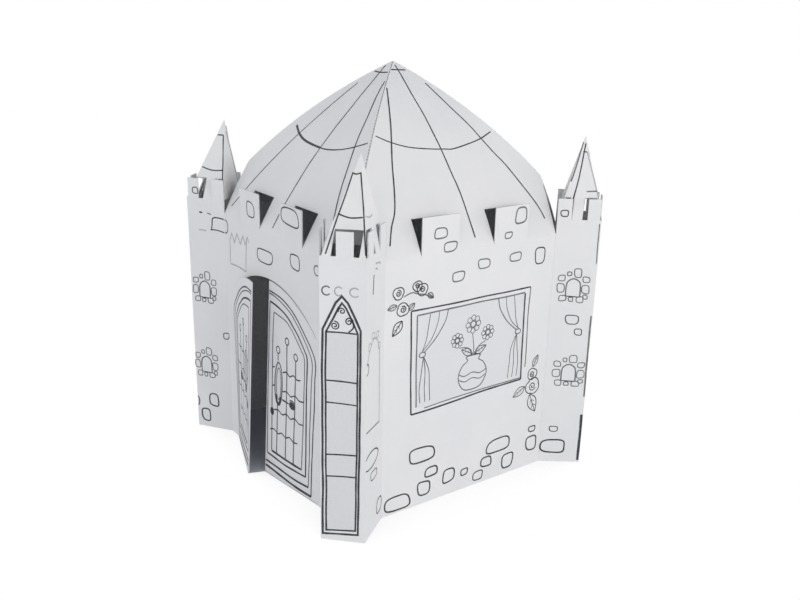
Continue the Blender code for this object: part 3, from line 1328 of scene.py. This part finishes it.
    def dress(self, made: bpy.types.Object, finishes: list[bpy.types.Material]) -> None:
        """Put the finishes on, apply the thickness and round the shading of the bend.

        Args:
            made: The sheet.
            finishes: The materials of the face, the back and the cut edges.
        """
        for finish in finishes:
            made.data.materials.append(finish)
        depsgraph = bpy.context.evaluated_depsgraph_get()
        solid = bpy.data.meshes.new_from_object(made.evaluated_get(depsgraph))
        made.modifiers.clear()
        made.data = solid
        solid.shade_smooth()
        solid.set_sharp_from_angle(angle=SHARP_ANGLE)


@dataclass
class Artwork:
    """What is printed on a sheet's panels."""

    sheet: Sheet

    def begin(self, panel: str, shape: Shape, zero: Point = (0.0, 0.0), mirror: bool = False) -> Drawing:
        """Start a panel's drawing."""
        return Drawing(f"{self.sheet.name}_{panel}_print", shape, zero, mirror)

    def roof(self) -> Drawing:
        """Draw the roof's ribs and its hanging band.

        Returns:
            The roof's drawing.
        """
        drawing = self.begin("roof", self.sheet.castle.roof)
        middle = [(-7, 708), (-12, 567), (-10, 439), (-6, 270), (-1, 173), (3, 29)]
        left = [(-96, 600), (-119, 543), (-151, 463), (-187, 378)]
        left += [(-219, 294), (-264, 157), (-296, 101), (-320, 45)]
        right = [(68, 616), (90, 559), (122, 487), (154, 423)]
        right += [(199, 318), (235, 254), (299, 117), (318, 57)]
        for rib in (middle, left, right):
            drawing.line(rib, width=1.1)
        band = [(-233, 408), (-191, 382), (-135, 360), (-71, 348)]
        drawing.line([*band, (2, 341), (50, 340), (162, 366), (231, 394)])
        drawing.line([(-35, 684), (-5, 682), (22, 680)], width=1.4)
        return drawing

    def spire(self) -> list[Drawing]:
        """Draw the ribs and bands on the spire's faces.

        Returns:
            The faces' drawings.
        """
        near, front, far, room = [face for face, _ in self.sheet.spire_faces()]
        drawing = self.begin("spire_front", front.plane)
        drawing.line([(17, 4), (35, 118), (56, 236)], width=0.9)
        drawing.line([(132, 7), (101, 140), (78, 237)], width=0.9)
        drawing.line([(56, 234), (66, 231), (78, 235)])
        drawing.line([(32, 118), (68, 108), (105, 111)])
        drawings = [self.spire_near(near), drawing]
        drawing = self.begin("spire_far", far.plane)
        drawing.line([(58, 262), (36, 154), (30, 128)], Tone.SOFT)
        drawing.line([(66, 258), (54, 134), (45, 70)])
        drawing.line([(60, 229), (74, 229)])
        drawing.line([(86, 95), (124, 97)], Tone.SOFT)
        drawing.line([(74, 229), (97, 165), (121, 98)], Tone.FAINT)
        drawings.append(drawing)
        drawing = self.begin("spire_room", room.plane)
        inset = 9
        rib = [room.edges(share) for share in (0.03, 0.3, 0.6, 0.85)]
        drawing.line([(right * MILLIMETRES - inset, up * MILLIMETRES) for _, right, up in rib], Tone.SOFT)
        drawings.append(drawing)
        return drawings

    def spire_near(self, face: SpireFace) -> Drawing:
        """Draw the rib and the bands on the spire's face over the wall's side of the tower.

        Args:
            face: The face.

        Returns:
            Its drawing.
        """
        drawing = self.begin("spire_near", face.plane)
        drawing.line([(97, 230), (122, 107), (145, 5)])
        drawing.line([(74, 230), (98, 230)])
        drawing.line([(36, 112), (78, 102), (122, 104)])
        return drawing

    def tower_front(self) -> Drawing:
        """Draw the tall gabled window on a tower's front face.

        Returns:
            The face's drawing.
        """
        drawing = self.begin("tower_front", self.sheet.castle.front_plane())
        panes = [(18, 464), (17, 298), (17, 32), (109, 40), (111, 298), (112, 464), (112, 680), (18, 682)]
        drawing.patch(panes, Tone.TINT)
        outer = [(6, 19), (117, 27), (119, 300), (120, 693), (100, 738), (84, 773), (67, 792)]
        outer += [(49, 772), (32, 738), (8, 690), (7, 300)]
        inner = [(17, 32), (109, 40), (111, 300), (112, 683), (92, 728), (78, 758), (67, 772)]
        inner += [(56, 756), (42, 728), (18, 683), (17, 300)]
        drawing.ruled(outer, width=1.5, closed=True)
        drawing.ruled(inner, width=1.25, closed=True)
        for left, right in ((682, 683), (534, 531), (464, 462), (293, 298), (221, 225)):
            drawing.line([(18, left), (65, (left + right) / 2 + 1), (111, right)], width=1.1)
        drawing.spiral(44, 703, 14.0, 100.0, 1.7, Tone.INK)
        drawing.spiral(86, 718, 13.0, -20.0, -1.6, Tone.INK)
        drawing.spiral(66, 748, 11.0, 200.0, 1.4, Tone.INK)
        drawing.line([(84, 686), (98, 700), (98, 716)])
        for u, half, tone in ((22, 13, Tone.SOFT), (58, 12, Tone.FAINT), (104, 14, Tone.FAINT)):
            drawing.line(oval(u, 806, half, 13, 40.0, 280.0), tone)
        return drawing


@dataclass
class DoorArtwork(Artwork):
    """What is printed on the door sheet."""

    def roof(self) -> Drawing:
        """Draw the roof's ribs and its hanging band, which hang a little lower over the door.

        Returns:
            The roof's drawing.
        """
        drawing = self.begin("roof", self.sheet.castle.roof)
        rib = [(-10, 704), (2, 656), (14, 600), (24, 510), (25, 400), (20, 280), (13, 157), (4, 20)]
        left = [(-60, 607), (-87, 527), (-115, 455), (-159, 354)]
        left += [(-207, 254), (-252, 165), (-280, 109), (-320, 37)]
        right = [(74, 628), (102, 567), (146, 483), (178, 407)]
        right += [(207, 342), (243, 262), (275, 189), (322, 86)]
        for line in (rib, left, right):
            drawing.line(line, width=1.15)
        heavy = [(-209, 390), (-159, 362), (-103, 342), (-39, 332), (26, 326)]
        drawing.line([*heavy, (82, 328), (138, 338), (195, 356), (250, 382)], width=1.1)
        drawing.line(heavy, width=1.9)
        drawing.line([(-35, 670), (3, 666), (42, 669)], width=1.4)
        return drawing

    def wall(self) -> Drawing:
        """Draw the stones over the doorway and the small banner beside it.

        Returns:
            The wall's drawing.
        """
        drawing = self.begin("wall", self.sheet.castle.wall)
        drawing.stones(((-135, 913, 27, 25), (141, 940, 55, 27), (-37, 773, 54, 24), (172, 803, 28, 25)))
        drawing.line(oval(306, 808, 16, 15, 60.0, 240.0), Tone.SOFT)
        drawing.line([(-347, 837), (-330, 834), (-322, 822), (-324, 802), (-334, 791), (-347, 789)])
        drawing.line([(-308, 683), (-246, 687), (-184, 684)], Tone.FAINT, 1.2)
        drawing.line([(-174, 796), (-181, 740), (-184, 684)], Tone.FAINT, 1.2)
        peaks = [(-308, 683), (-307, 770), (-291, 800), (-270, 768), (-249, 806), (-224, 773), (-200, 809)]
        drawing.ruled([*peaks, (-186, 779), (-167, 811), (-156, 792)], Tone.FAINT, 1.2)
        return drawing

    def leaf(self, side: int) -> Drawing:
        """Draw a door leaf: its bands, its bars, and the ring and knob.

        Args:
            side: -1 for the left leaf and 1 for the right one.

        Returns:
            The drawing, from the leaf's free edge to its hinge.
        """
        castle = self.sheet.castle
        swings = self.sheet.right_swings if side > 0 else self.sheet.left_swings
        panel = "right_leaf" if side > 0 else "left_leaf"
        hinge = -side * castle.door_width / 2 * MILLIMETRES
        drawing = self.begin(panel, castle.leaf(side, swings), (hinge, 0.0), side < 0)
        self.draw_bands(drawing)
        self.draw_bars(drawing)
        return drawing

    def draw_bands(self, drawing: Drawing) -> None:
        """Draw the four bands that follow the leaf's edge.

        Args:
            drawing: The leaf's drawing.
        """
        first = [(265, 16), (270, 150), (276, 240), (285, 340), (290, 440), (294, 506), (270, 546)]
        first += [(240, 574), (215, 595), (185, 618), (150, 638), (110, 654), (70, 663), (4, 667)]
        drawing.line([(4, 30), (100, 21), (190, 16), (265, 16)], width=2.0)
        drawing.line(first, width=1.2)
        second = [(250, 44), (255, 140), (258, 240), (265, 340), (270, 420), (275, 496), (254, 536)]
        second += [(230, 562), (205, 585), (180, 604), (145, 626), (100, 643), (50, 655), (4, 658)]
        drawing.line([(4, 49), (100, 44), (180, 41), (250, 44)], width=1.7)
        drawing.line(second, Tone.SOFT, 1.1)
        third = [(235, 76), (238, 240), (242, 390), (246, 496), (234, 522), (215, 542)]
        third += [(190, 566), (165, 583), (140, 600), (105, 616), (60, 627), (12, 632)]
        drawing.line([(12, 80), (60, 76), (110, 73), (170, 74), (235, 76)], width=1.5)
        drawing.line(third, width=1.5)
        drawing.line([(11, 80), (10, 300), (9, 520), (12, 632)], Tone.SOFT, 1.2)
        fourth = [(212, 94), (216, 165), (222, 260), (227, 365), (230, 490), (212, 518)]
        fourth += [(190, 540), (165, 562), (140, 580), (107, 594), (38, 602)]
        drawing.line([(38, 97), (90, 95), (150, 94), (212, 94)], width=1.8)
        drawing.line(fourth, Tone.SOFT, 1.1)
        drawing.line([(38, 97), (36, 300), (34, 520), (38, 602)], Tone.SOFT, 1.2)

    def draw_bars(self, drawing: Drawing) -> None:
        """Draw the rods with their rings, the wavy bars, the oval ring and the knob.

        Args:
            drawing: The leaf's drawing.
        """
        for head, top in ((69, 478), (124, 524), (178, 484)):
            drawing.line(oval(head, top, 11, 12), closed=True)
        rods = ([(69, 465), (70, 440)], [(69, 280), (68, 97)], [(124, 511), (123, 300), (120, 97)])
        for rod in (*rods, [(178, 471), (173, 300), (165, 97)]):
            drawing.line(rod, Tone.SOFT, 1.4)
        waves = ((35, 50, 408), (98, 207, 409), (37, 50, 340), (98, 226, 340))
        waves += ((48, 222, 257), (27, 190, 177))
        half_wave = 24
        for start, end, height in waves:
            points = [(start, height - 2)]
            steps = max(1, round((end - start) / half_wave))
            for step in range(1, steps):
                share = step / steps
                points.append((start + (end - start) * share, height + 5 * share + (5 if step % 2 else -4)))
            points.append((end, height + 5))
            drawing.line(points, width=1.1)
        drawing.patch(oval(74, 357, 20, 72), Tone.PALE)
        drawing.line(oval(74, 358, 22, 77), Tone.SOFT, 1.5, closed=True)
        drawing.line(oval(75, 359, 14, 57), Tone.SOFT, 0.9, closed=True)
        drawing.line(oval(74, 358, 19, 73, 215.0, 110.0), width=2.6)
        drawing.line([(97, 309), (137, 308)], width=1.4)
        drawing.patch(oval(158, 307, 19, 14), Tone.INK)
        drawing.line([(142, 321), (160, 325), (172, 319)])
        drawing.patch(oval(38, 246, 11, 15), Tone.INK)

    def tower_near(self) -> Drawing:
        """Draw the two ring windows and the stones on the tower beside the door wall.

        Returns:
            The face's drawing.
        """
        drawing = self.begin("tower_near", self.sheet.castle.near_plane())
        drawing.ring_window(56, 565, 0.86, Tone.SOFT)
        drawing.ring_window(48, 264, 0.86, Tone.SOFT)
        drawing.stones(((35, 934, 11, 11), (138, 390, 12, 12)))
        drawing.stones(((72, 117, 19, 26), (35, 49, 18, 24)), weight=1.25)
        drawing.line(oval(0, 103, 8, 20, -80.0, 160.0))
        drawing.line([(48, 856), (61, 855)], width=1.5)
        drawing.line([(80, 855), (97, 851)], Tone.SOFT)
        drawing.line([(44, 789), (60, 790), (76, 788)], Tone.FAINT)
        drawing.line([(97, 792), (100, 812), (104, 838), (128, 841), (149, 837)])
        drawing.line([(93, 795), (120, 795), (149, 789)])
        return drawing


@dataclass
class WindowArtwork(Artwork):
    """What is printed on the window sheet."""

    def wall(self) -> Drawing:
        """Draw the window, the roses at two of its corners, and the stones.

        Returns:
            The wall's drawing.
        """
        drawing = self.begin("wall", self.sheet.castle.wall)
        self.draw_frame(drawing)
        self.draw_curtains(drawing)
        self.draw_vase(drawing)
        self.draw_roses(drawing)
        high = (
            (-146, 920, 25, 15), (-107, 874, 25, 15), (35, 799, 25, 15), (-70, 773, 25, 15),
            (171, 803, 23, 15), (132, 880, 15, 10), (182, 939, 24, 25),
        )
        low = (
            (-192, 184, 50, 27), (-150, 110, 24, 17), (-180, 57, 24, 26), (-75, 71, 24, 25),
            (-6, 63, 14, 12), (56, 30, 22, 16), (92, 73, 25, 17), (145, 123, 52, 26),
            (194, 50, 26, 26), (305, 87, 25, 27), (304, 144, 15, 11), (-286, 35, 49, 26),
        )
        drawing.stones(high, Tone.SOFT, 1.2)
        drawing.stone(281, 792, 23, 26)
        drawing.stones(low, weight=1.3)
        return drawing

    def draw_frame(self, drawing: Drawing) -> None:
        """Draw the window's frame as two hand-ruled oblongs.

        Args:
            drawing: The wall's drawing.
        """
        drawing.patch([(-222, 358), (228, 356), (223, 671), (-227, 671)], Tone.PALE)
        drawing.line([(-241, 339), (-245, 437), (-248, 580), (-250, 689)], width=1.3)
        drawing.line([(-241, 339), (-100, 342), (50, 350), (231, 354)], width=1.4)
        drawing.line([(231, 354), (228, 480), (226, 578), (224, 668)], width=1.5)
        drawing.line([(-250, 689), (-50, 686), (100, 687), (248, 686)], width=1.2)
        drawing.line([(248, 686), (245, 578), (249, 437), (247, 396)], Tone.SOFT)
        drawing.line([(-222, 360), (-226, 520), (-227, 671)], Tone.SOFT, 1.1)
        drawing.line([(-190, 351), (0, 358), (228, 360)], Tone.SOFT, 0.9)
        drawing.line([(-227, 671), (0, 671), (224, 670)], Tone.SOFT, 1.1)

    def draw_curtains(self, drawing: Drawing) -> None:
        """Draw a tied curtain at each side of the window.

        Args:
            drawing: The wall's drawing.
        """
        for way in (-1, 1):
            hem = [(105, 670), (116, 632), (150, 584), (196, 544)]
            drawing.line([(u * way, v) for u, v in hem], Tone.SOFT, 0.9)
            for top, reach in ((140, 168), (176, 190)):
                fold = [(top, 669), (top + 6, 632), (reach, 584), (204, 548)]
                drawing.line([(u * way, v) for u, v in fold], Tone.SOFT, 0.7)
            drawing.line(oval(203 * way, 537, 12, 9), Tone.SOFT, 0.9, closed=True)
            for foot, bend in ((168, 176), (188, 190), (208, 204)):
                fall = [(198, 530), (bend, 480), (foot + 4, 420), (foot, 372)]
                drawing.line([(u * way, v) for u, v in fall], Tone.SOFT, 0.75)

    def draw_vase(self, drawing: Drawing) -> None:
        """Draw a round vase of daisies on the window's sill.

        Args:
            drawing: The wall's drawing.
        """
        side = [(26, 372), (50, 392), (60, 425), (46, 458), (24, 474), (28, 490)]
        outline = side + [(-u, v) for u, v in reversed(side)]
        drawing.line([(u + 8, v) for u, v in outline], Tone.SOFT, 0.95, closed=True)
        drawing.line([(-50, 432), (-26, 422), (8, 430), (40, 422), (66, 432)], Tone.SOFT, 0.8)
        drawing.line([(-48, 412), (-22, 402), (8, 410), (40, 402), (63, 412)], Tone.SOFT, 0.8)
        petals = 8
        flowers = ((2, 600, 32), (-62, 556, 27), (66, 560, 28))
        for u, v, reach in flowers:
            drawing.line([(8 + u * 0.12, 490), (8 + u * 0.35, 520), (u * 0.9, v - reach)], Tone.SOFT, 0.75)
            drawing.line(oval(u, v, reach * 0.32, reach * 0.32), Tone.SOFT, 0.9, closed=True)
            for petal in range(petals):
                angle = math.tau * petal / petals
                middle = (u + reach * 0.68 * math.cos(angle), v + reach * 0.68 * math.sin(angle))
                drawing.line(oval(*middle, reach * 0.28, reach * 0.28), Tone.SOFT, 0.6, closed=True)
        drawing.leaf((4, 496), (-44, 520), 0.24, Tone.SOFT)
        drawing.leaf((12, 496), (62, 516), 0.24, Tone.SOFT)

    def draw_roses(self, drawing: Drawing) -> None:
        """Draw the roses, with their leaves, at the window's upper left and lower right.

        Args:
            drawing: The wall's drawing.
        """
        for u, v, radius in ((-299, 754, 20), (-230, 765, 17), (-211, 752, 20), (-281, 700, 22)):
            drawing.rose(u, v, radius)
        drawing.line([(-280, 740), (-250, 748), (-226, 740), (-200, 734), (-168, 718)], Tone.SOFT, 0.9)
        drawing.leaf((-283, 664), (-319, 620), 0.26)
        drawing.leaf((-303, 716), (-338, 708), 0.26, Tone.SOFT)
        drawing.leaf((-190, 736), (-166, 719), 0.3, Tone.SOFT)
        drawing.leaf((-260, 694), (-238, 714), 0.3, Tone.SOFT)
        drawing.rose(286, 362, 22)
        drawing.rose(291, 314, 32)
        drawing.leaf((286, 388), (308, 430), 0.24, Tone.SOFT)
        drawing.leaf((254, 320), (199, 291), 0.24, Tone.SOFT)
        drawing.leaf((280, 284), (313, 211), 0.26)

    def spire_near(self, face: SpireFace) -> Drawing:
        """Draw the end of the band on the spire's face over the wall's side of the tower.

        Args:
            face: The face.

        Returns:
            Its drawing.
        """
        drawing = self.begin("spire_near", face.plane)
        drawing.line([(36, 112), (66, 104), (88, 108)], Tone.FAINT)
        return drawing

    def tower_near(self) -> Drawing:
        """Draw the tall faint window and the stones on the tower beside the window wall.

        Returns:
            The face's drawing.
        """
        drawing = self.begin("tower_near", self.sheet.castle.near_plane())
        drawing.line([(3, 371), (60, 366), (116, 361)], Tone.SOFT)
        drawing.line([(113, 362), (112, 460), (110, 560)], Tone.FAINT, 1.1)
        arch = [(6, 584), (20, 616), (42, 642), (66, 650), (90, 634), (106, 600), (110, 560)]
        drawing.line(arch, Tone.FAINT, 1.1)
        arch_stones = ((24, 636, 10, 10), (52, 662, 11, 9), (88, 655, 11, 9), (104, 615, 9, 10))
        drawing.stones(arch_stones, Tone.FAINT)
        drawing.line(oval(6, 574, 13, 17, -110.0, 220.0), Tone.SOFT, 0.9)
        drawing.line(oval(49, 263, 60, 27, -140.0, 280.0))
        drawing.stone(72, 202, 27, 15)
        drawing.stone(126, 65, 21, 25)
        for u, v, reach in ((85, 873, 22), (72, 859, 10)):
            drawing.line([(u - reach, v + 3), (u, v + 1), (u + reach, v - 5)], Tone.FAINT, 1.2)
        drawing.line([(52, 847), (50, 817), (48, 788)], Tone.SOFT, 1.6)
        return drawing


@dataclass
class BackArtwork(Artwork):
    """What is printed on the two sheets at the back."""

    def wall(self) -> Drawing:
        """Draw the stones along the wall's top and foot.

        Returns:
            The wall's drawing.
        """
        drawing = self.begin("wall", self.sheet.castle.wall)
        high = (
            (130, 912, 25, 22), (-128, 936, 48, 23), (-282, 806, 25, 24), (-165, 790, 23, 15),
            (10, 800, 46, 22), (112, 770, 22, 15), (246, 812, 26, 20),
        )
        low = (
            (-300, 96, 26, 26), (-212, 46, 46, 24), (-126, 104, 24, 16), (-92, 44, 16, 12),
            (-12, 60, 25, 27), (66, 116, 50, 25), (96, 38, 23, 15), (190, 60, 26, 27), (286, 108, 44, 24),
        )
        drawing.stones(high, Tone.SOFT)
        drawing.stones(low)
        return drawing

    def tower_far(self) -> Drawing:
        """Draw the two ring windows and the stones on the tower's face beside the neighbouring wall.

        Returns:
            The face's drawing.
        """
        drawing = self.begin("tower_far", self.sheet.castle.far_plane())
        drawing.ring_window(73, 670, 1.0, Tone.SOFT)
        drawing.ring_window(83, 354, 1.0, Tone.SOFT)
        drawing.stones(((23, 929, 13, 10), (79, 553, 23, 16), (104, 508, 13, 11), (46, 132, 14, 11)))
        drawing.stone(49, 61, 46, 24, weight=1.3)
        drawing.line([(143, 896), (145, 830), (146, 757)], Tone.SOFT, 0.8)
        drawing.line([(145, 570), (145, 420), (146, 262)], Tone.SOFT, 1.3)
        drawing.line([(145, 192), (146, 100), (145, 8)], width=2.2)
        return drawing


@dataclass
class Studio:
    """The floor, the light and the camera of the photograph."""

    room_floor: Outline
    azimuth: float = math.radians(54.1230)
    elevation: float = math.radians(18.0372)
    roll: float = math.radians(1.3486)
    distance: float = 3.17779
    aim_right: float = 0.042994
    aim_height: float = 0.55005
    lens: float = 38.7752
    sensor: float = 36.0
    floor_size: float = 60.0
    room_lift: float = 0.0004
    # Painted shade on the floor around the castle: the camera sees white that darkens through these stops
    # where the castle hides the sky within this reach (ambient occlusion), in place of the lamp's own shadow
    painted_shadow_reach: float = 1.6
    painted_floor_shades: Stops = (
        (0.00, (0.50, 0.51, 0.53)),
        (0.30, (0.88, 0.88, 0.89)),
        (0.52, (1.0, 1.0, 1.0)),
    )
    floor_lit: Colour = (0.72, 0.74, 0.79)
    horizon: Colour = (1.64, 1.61, 1.58)
    zenith: Colour = (0.06, 0.10, 0.18)
    key_place: tuple[float, float, float] = (5.2, -0.3, 2.6)
    key_aim: tuple[float, float, float] = (0.0, 0.0, 0.6)
    key_side: float = 2.6
    key_power: float = 52.0
    key_colour: Colour = (1.0, 0.965, 0.91)

    def build(self) -> None:
        """Make the floor, the light and the camera."""
        self.make_floor()
        self.make_sky()
        self.make_key_light()
        self.make_camera()

    def make_floor(self) -> None:
        """Lay one pale floor. Around the castle the camera sees it white with painted shade from ambient
        occlusion, and in the room it keeps its own real shadow.
        """
        mesh = bpy.data.meshes.new("floor")
        half = self.floor_size / 2
        ground = bmesh.new()
        room = [ground.verts.new((u, v, self.room_lift)) for u, v in self.room_floor]
        ground.faces.new(room).material_index = 1
        corners = ((-half, -half), (half, -half), (half, half), (-half, half))
        ground.faces.new([ground.verts.new((u, v, 0.0)) for u, v in corners])
        ground.to_mesh(mesh)
        ground.free()
        floor = bpy.data.objects.new("floor", mesh)
        bpy.context.scene.collection.objects.link(floor)
        nodes = self.pale_floor("pale_floor")
        # The camera sees a white glow darkened by painted shade where the castle hides the sky; other rays
        # see the pale floor
        openness = nodes.add("ShaderNodeAmbientOcclusion", Distance=self.painted_shadow_reach, samples=16)
        shade = nodes.ramp(openness.outputs["AO"], self.painted_floor_shades)
        seen = nodes.add("ShaderNodeEmission")
        nodes.link(shade, seen.inputs["Color"])
        path = nodes.add("ShaderNodeLightPath")
        mix = nodes.add("ShaderNodeMixShader")
        nodes.link(path.outputs["Is Camera Ray"], mix.inputs["Fac"])
        nodes.link(nodes.shader.outputs["BSDF"], mix.inputs[1])
        nodes.link(seen.outputs["Emission"], mix.inputs[2])
        nodes.link(mix.outputs["Shader"], nodes.tree.nodes["Material Output"].inputs["Surface"])
        mesh.materials.append(nodes.material)
        mesh.materials.append(self.pale_floor("pale_floor_in_the_room").material)

    def pale_floor(self, name: str) -> Nodes:
        """Start a material with the floor's own pale colour.

        Args:
            name: The material's name.

        Returns:
            The material's nodes.
        """
        nodes = Nodes(name)
        nodes.shader.inputs["Base Color"].default_value = (*self.floor_lit, 1.0)
        nodes.finish(roughness=1.0, specular=0.0)
        return nodes

    def make_sky(self) -> None:
        """Light the scene from all sides, with pure white behind the castle."""
        world = bpy.data.worlds.new("sky")
        world.use_nodes = True
        tree = world.node_tree
        back = tree.nodes["Background"]
        direction = tree.nodes.new("ShaderNodeTexCoord")
        parts = tree.nodes.new("ShaderNodeSeparateXYZ")
        shade = tree.nodes.new("ShaderNodeMix")
        shade.data_type = "RGBA"
        shade.inputs["A"].default_value = (*self.horizon, 1.0)
        shade.inputs["B"].default_value = (*self.zenith, 1.0)
        white = tree.nodes.new("ShaderNodeBackground")
        white.inputs["Color"].default_value = (1.0, 1.0, 1.0, 1.0)
        path = tree.nodes.new("ShaderNodeLightPath")
        mix = tree.nodes.new("ShaderNodeMixShader")
        for output, target in (
            (direction.outputs["Generated"], parts.inputs["Vector"]),
            (parts.outputs["Z"], shade.inputs["Factor"]),
            (shade.outputs["Result"], back.inputs["Color"]),
            (path.outputs["Is Camera Ray"], mix.inputs["Fac"]),
            (back.outputs["Background"], mix.inputs[1]),
            (white.outputs["Background"], mix.inputs[2]),
            (mix.outputs["Shader"], tree.nodes["World Output"].inputs["Surface"]),
        ):
            tree.links.new(output, target)
        bpy.context.scene.world = world

    def make_key_light(self) -> None:
        """Hang a soft square lamp, turned to the castle."""
        light = bpy.data.lights.new("key_light", "AREA")
        light.size = self.key_side
        light.energy = self.key_power
        light.color = self.key_colour
        lamp = bpy.data.objects.new("key_light", light)
        bpy.context.scene.collection.objects.link(lamp)
        lamp.location = self.key_place
        aim = Vector(self.key_aim) - Vector(self.key_place)
        lamp.rotation_euler = aim.to_track_quat("-Z", "Y").to_euler()

    def make_camera(self) -> None:
        """Stand the camera where the photograph was taken from."""
        right = Vector((math.cos(self.azimuth), math.sin(self.azimuth), 0.0))
        level = math.cos(self.elevation)
        look = Vector((-right.y * level, right.x * level, -math.sin(self.elevation)))
        up = right.cross(look)
        across = right * math.cos(self.roll) + up * math.sin(self.roll)
        over = up * math.cos(self.roll) - right * math.sin(self.roll)
        place = UP * self.aim_height + right * self.aim_right - look * self.distance
        data = bpy.data.cameras.new("camera")
        data.lens = self.lens
        data.sensor_width = self.sensor
        data.sensor_fit = "HORIZONTAL"
        data.clip_end = 200.0
        camera = bpy.data.objects.new("camera", data)
        bpy.context.scene.collection.objects.link(camera)
        axes = Matrix((across, over, -look)).transposed()
        camera.matrix_world = Matrix.Translation(place) @ axes.to_4x4()
        bpy.context.scene.camera = camera
        bpy.context.scene.view_settings.view_transform = "Standard"


def drawings_of(sheet: Sheet) -> list[Drawing]:
    """Return all the drawings on a sheet.

    Args:
        sheet: The sheet.

    Returns:
        The drawings, one for each printed panel.
    """
    kinds = {"door": DoorArtwork, "window": WindowArtwork}
    artwork = kinds.get(sheet.name, BackArtwork)(sheet)
    drawings = [artwork.roof(), artwork.wall(), artwork.tower_front(), *artwork.spire()]
    if isinstance(artwork, DoorArtwork):
        drawings += [artwork.leaf(-1), artwork.leaf(1)]
    if isinstance(artwork, BackArtwork):
        drawings.append(artwork.tower_far())
    else:
        drawings.append(artwork.tower_near())
    return drawings


def main() -> None:
    """Build the castle's looks and the studio."""
    logging.basicConfig(level=logging.INFO, format="%(message)s")
    castle = Castle()
    lean = Vector((0.015, 0.022, 0.0))
    face = PrintedFace().material()
    edge = CutEdge().material()
    back = PlainBack().material()
    sheets = (
        Sheet(
            "door",
            0,
            castle,
            lean,
            left_swings=(math.radians(19.0), math.radians(12.5)),
            right_swings=(math.radians(8.0), math.radians(1.0)),
            has_door=True,
        ),
        Sheet("window", 1, castle, lean),
        Sheet("back", 2, castle, lean),
        Sheet("side", 3, castle, lean),
    )
    inks = [printing.material() for printing in PRINTINGS]
    for sheet in sheets:
        made = sheet.build()
        sheet.dress(made, [face, back, edge])
        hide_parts(f"{sheet.name}_sheet")
        for drawing in drawings_of(sheet):
            drawing.build(sheet.turn, inks)
    Studio(sheets[0].room_floor()).build()


if __name__ == "__main__":
    main()
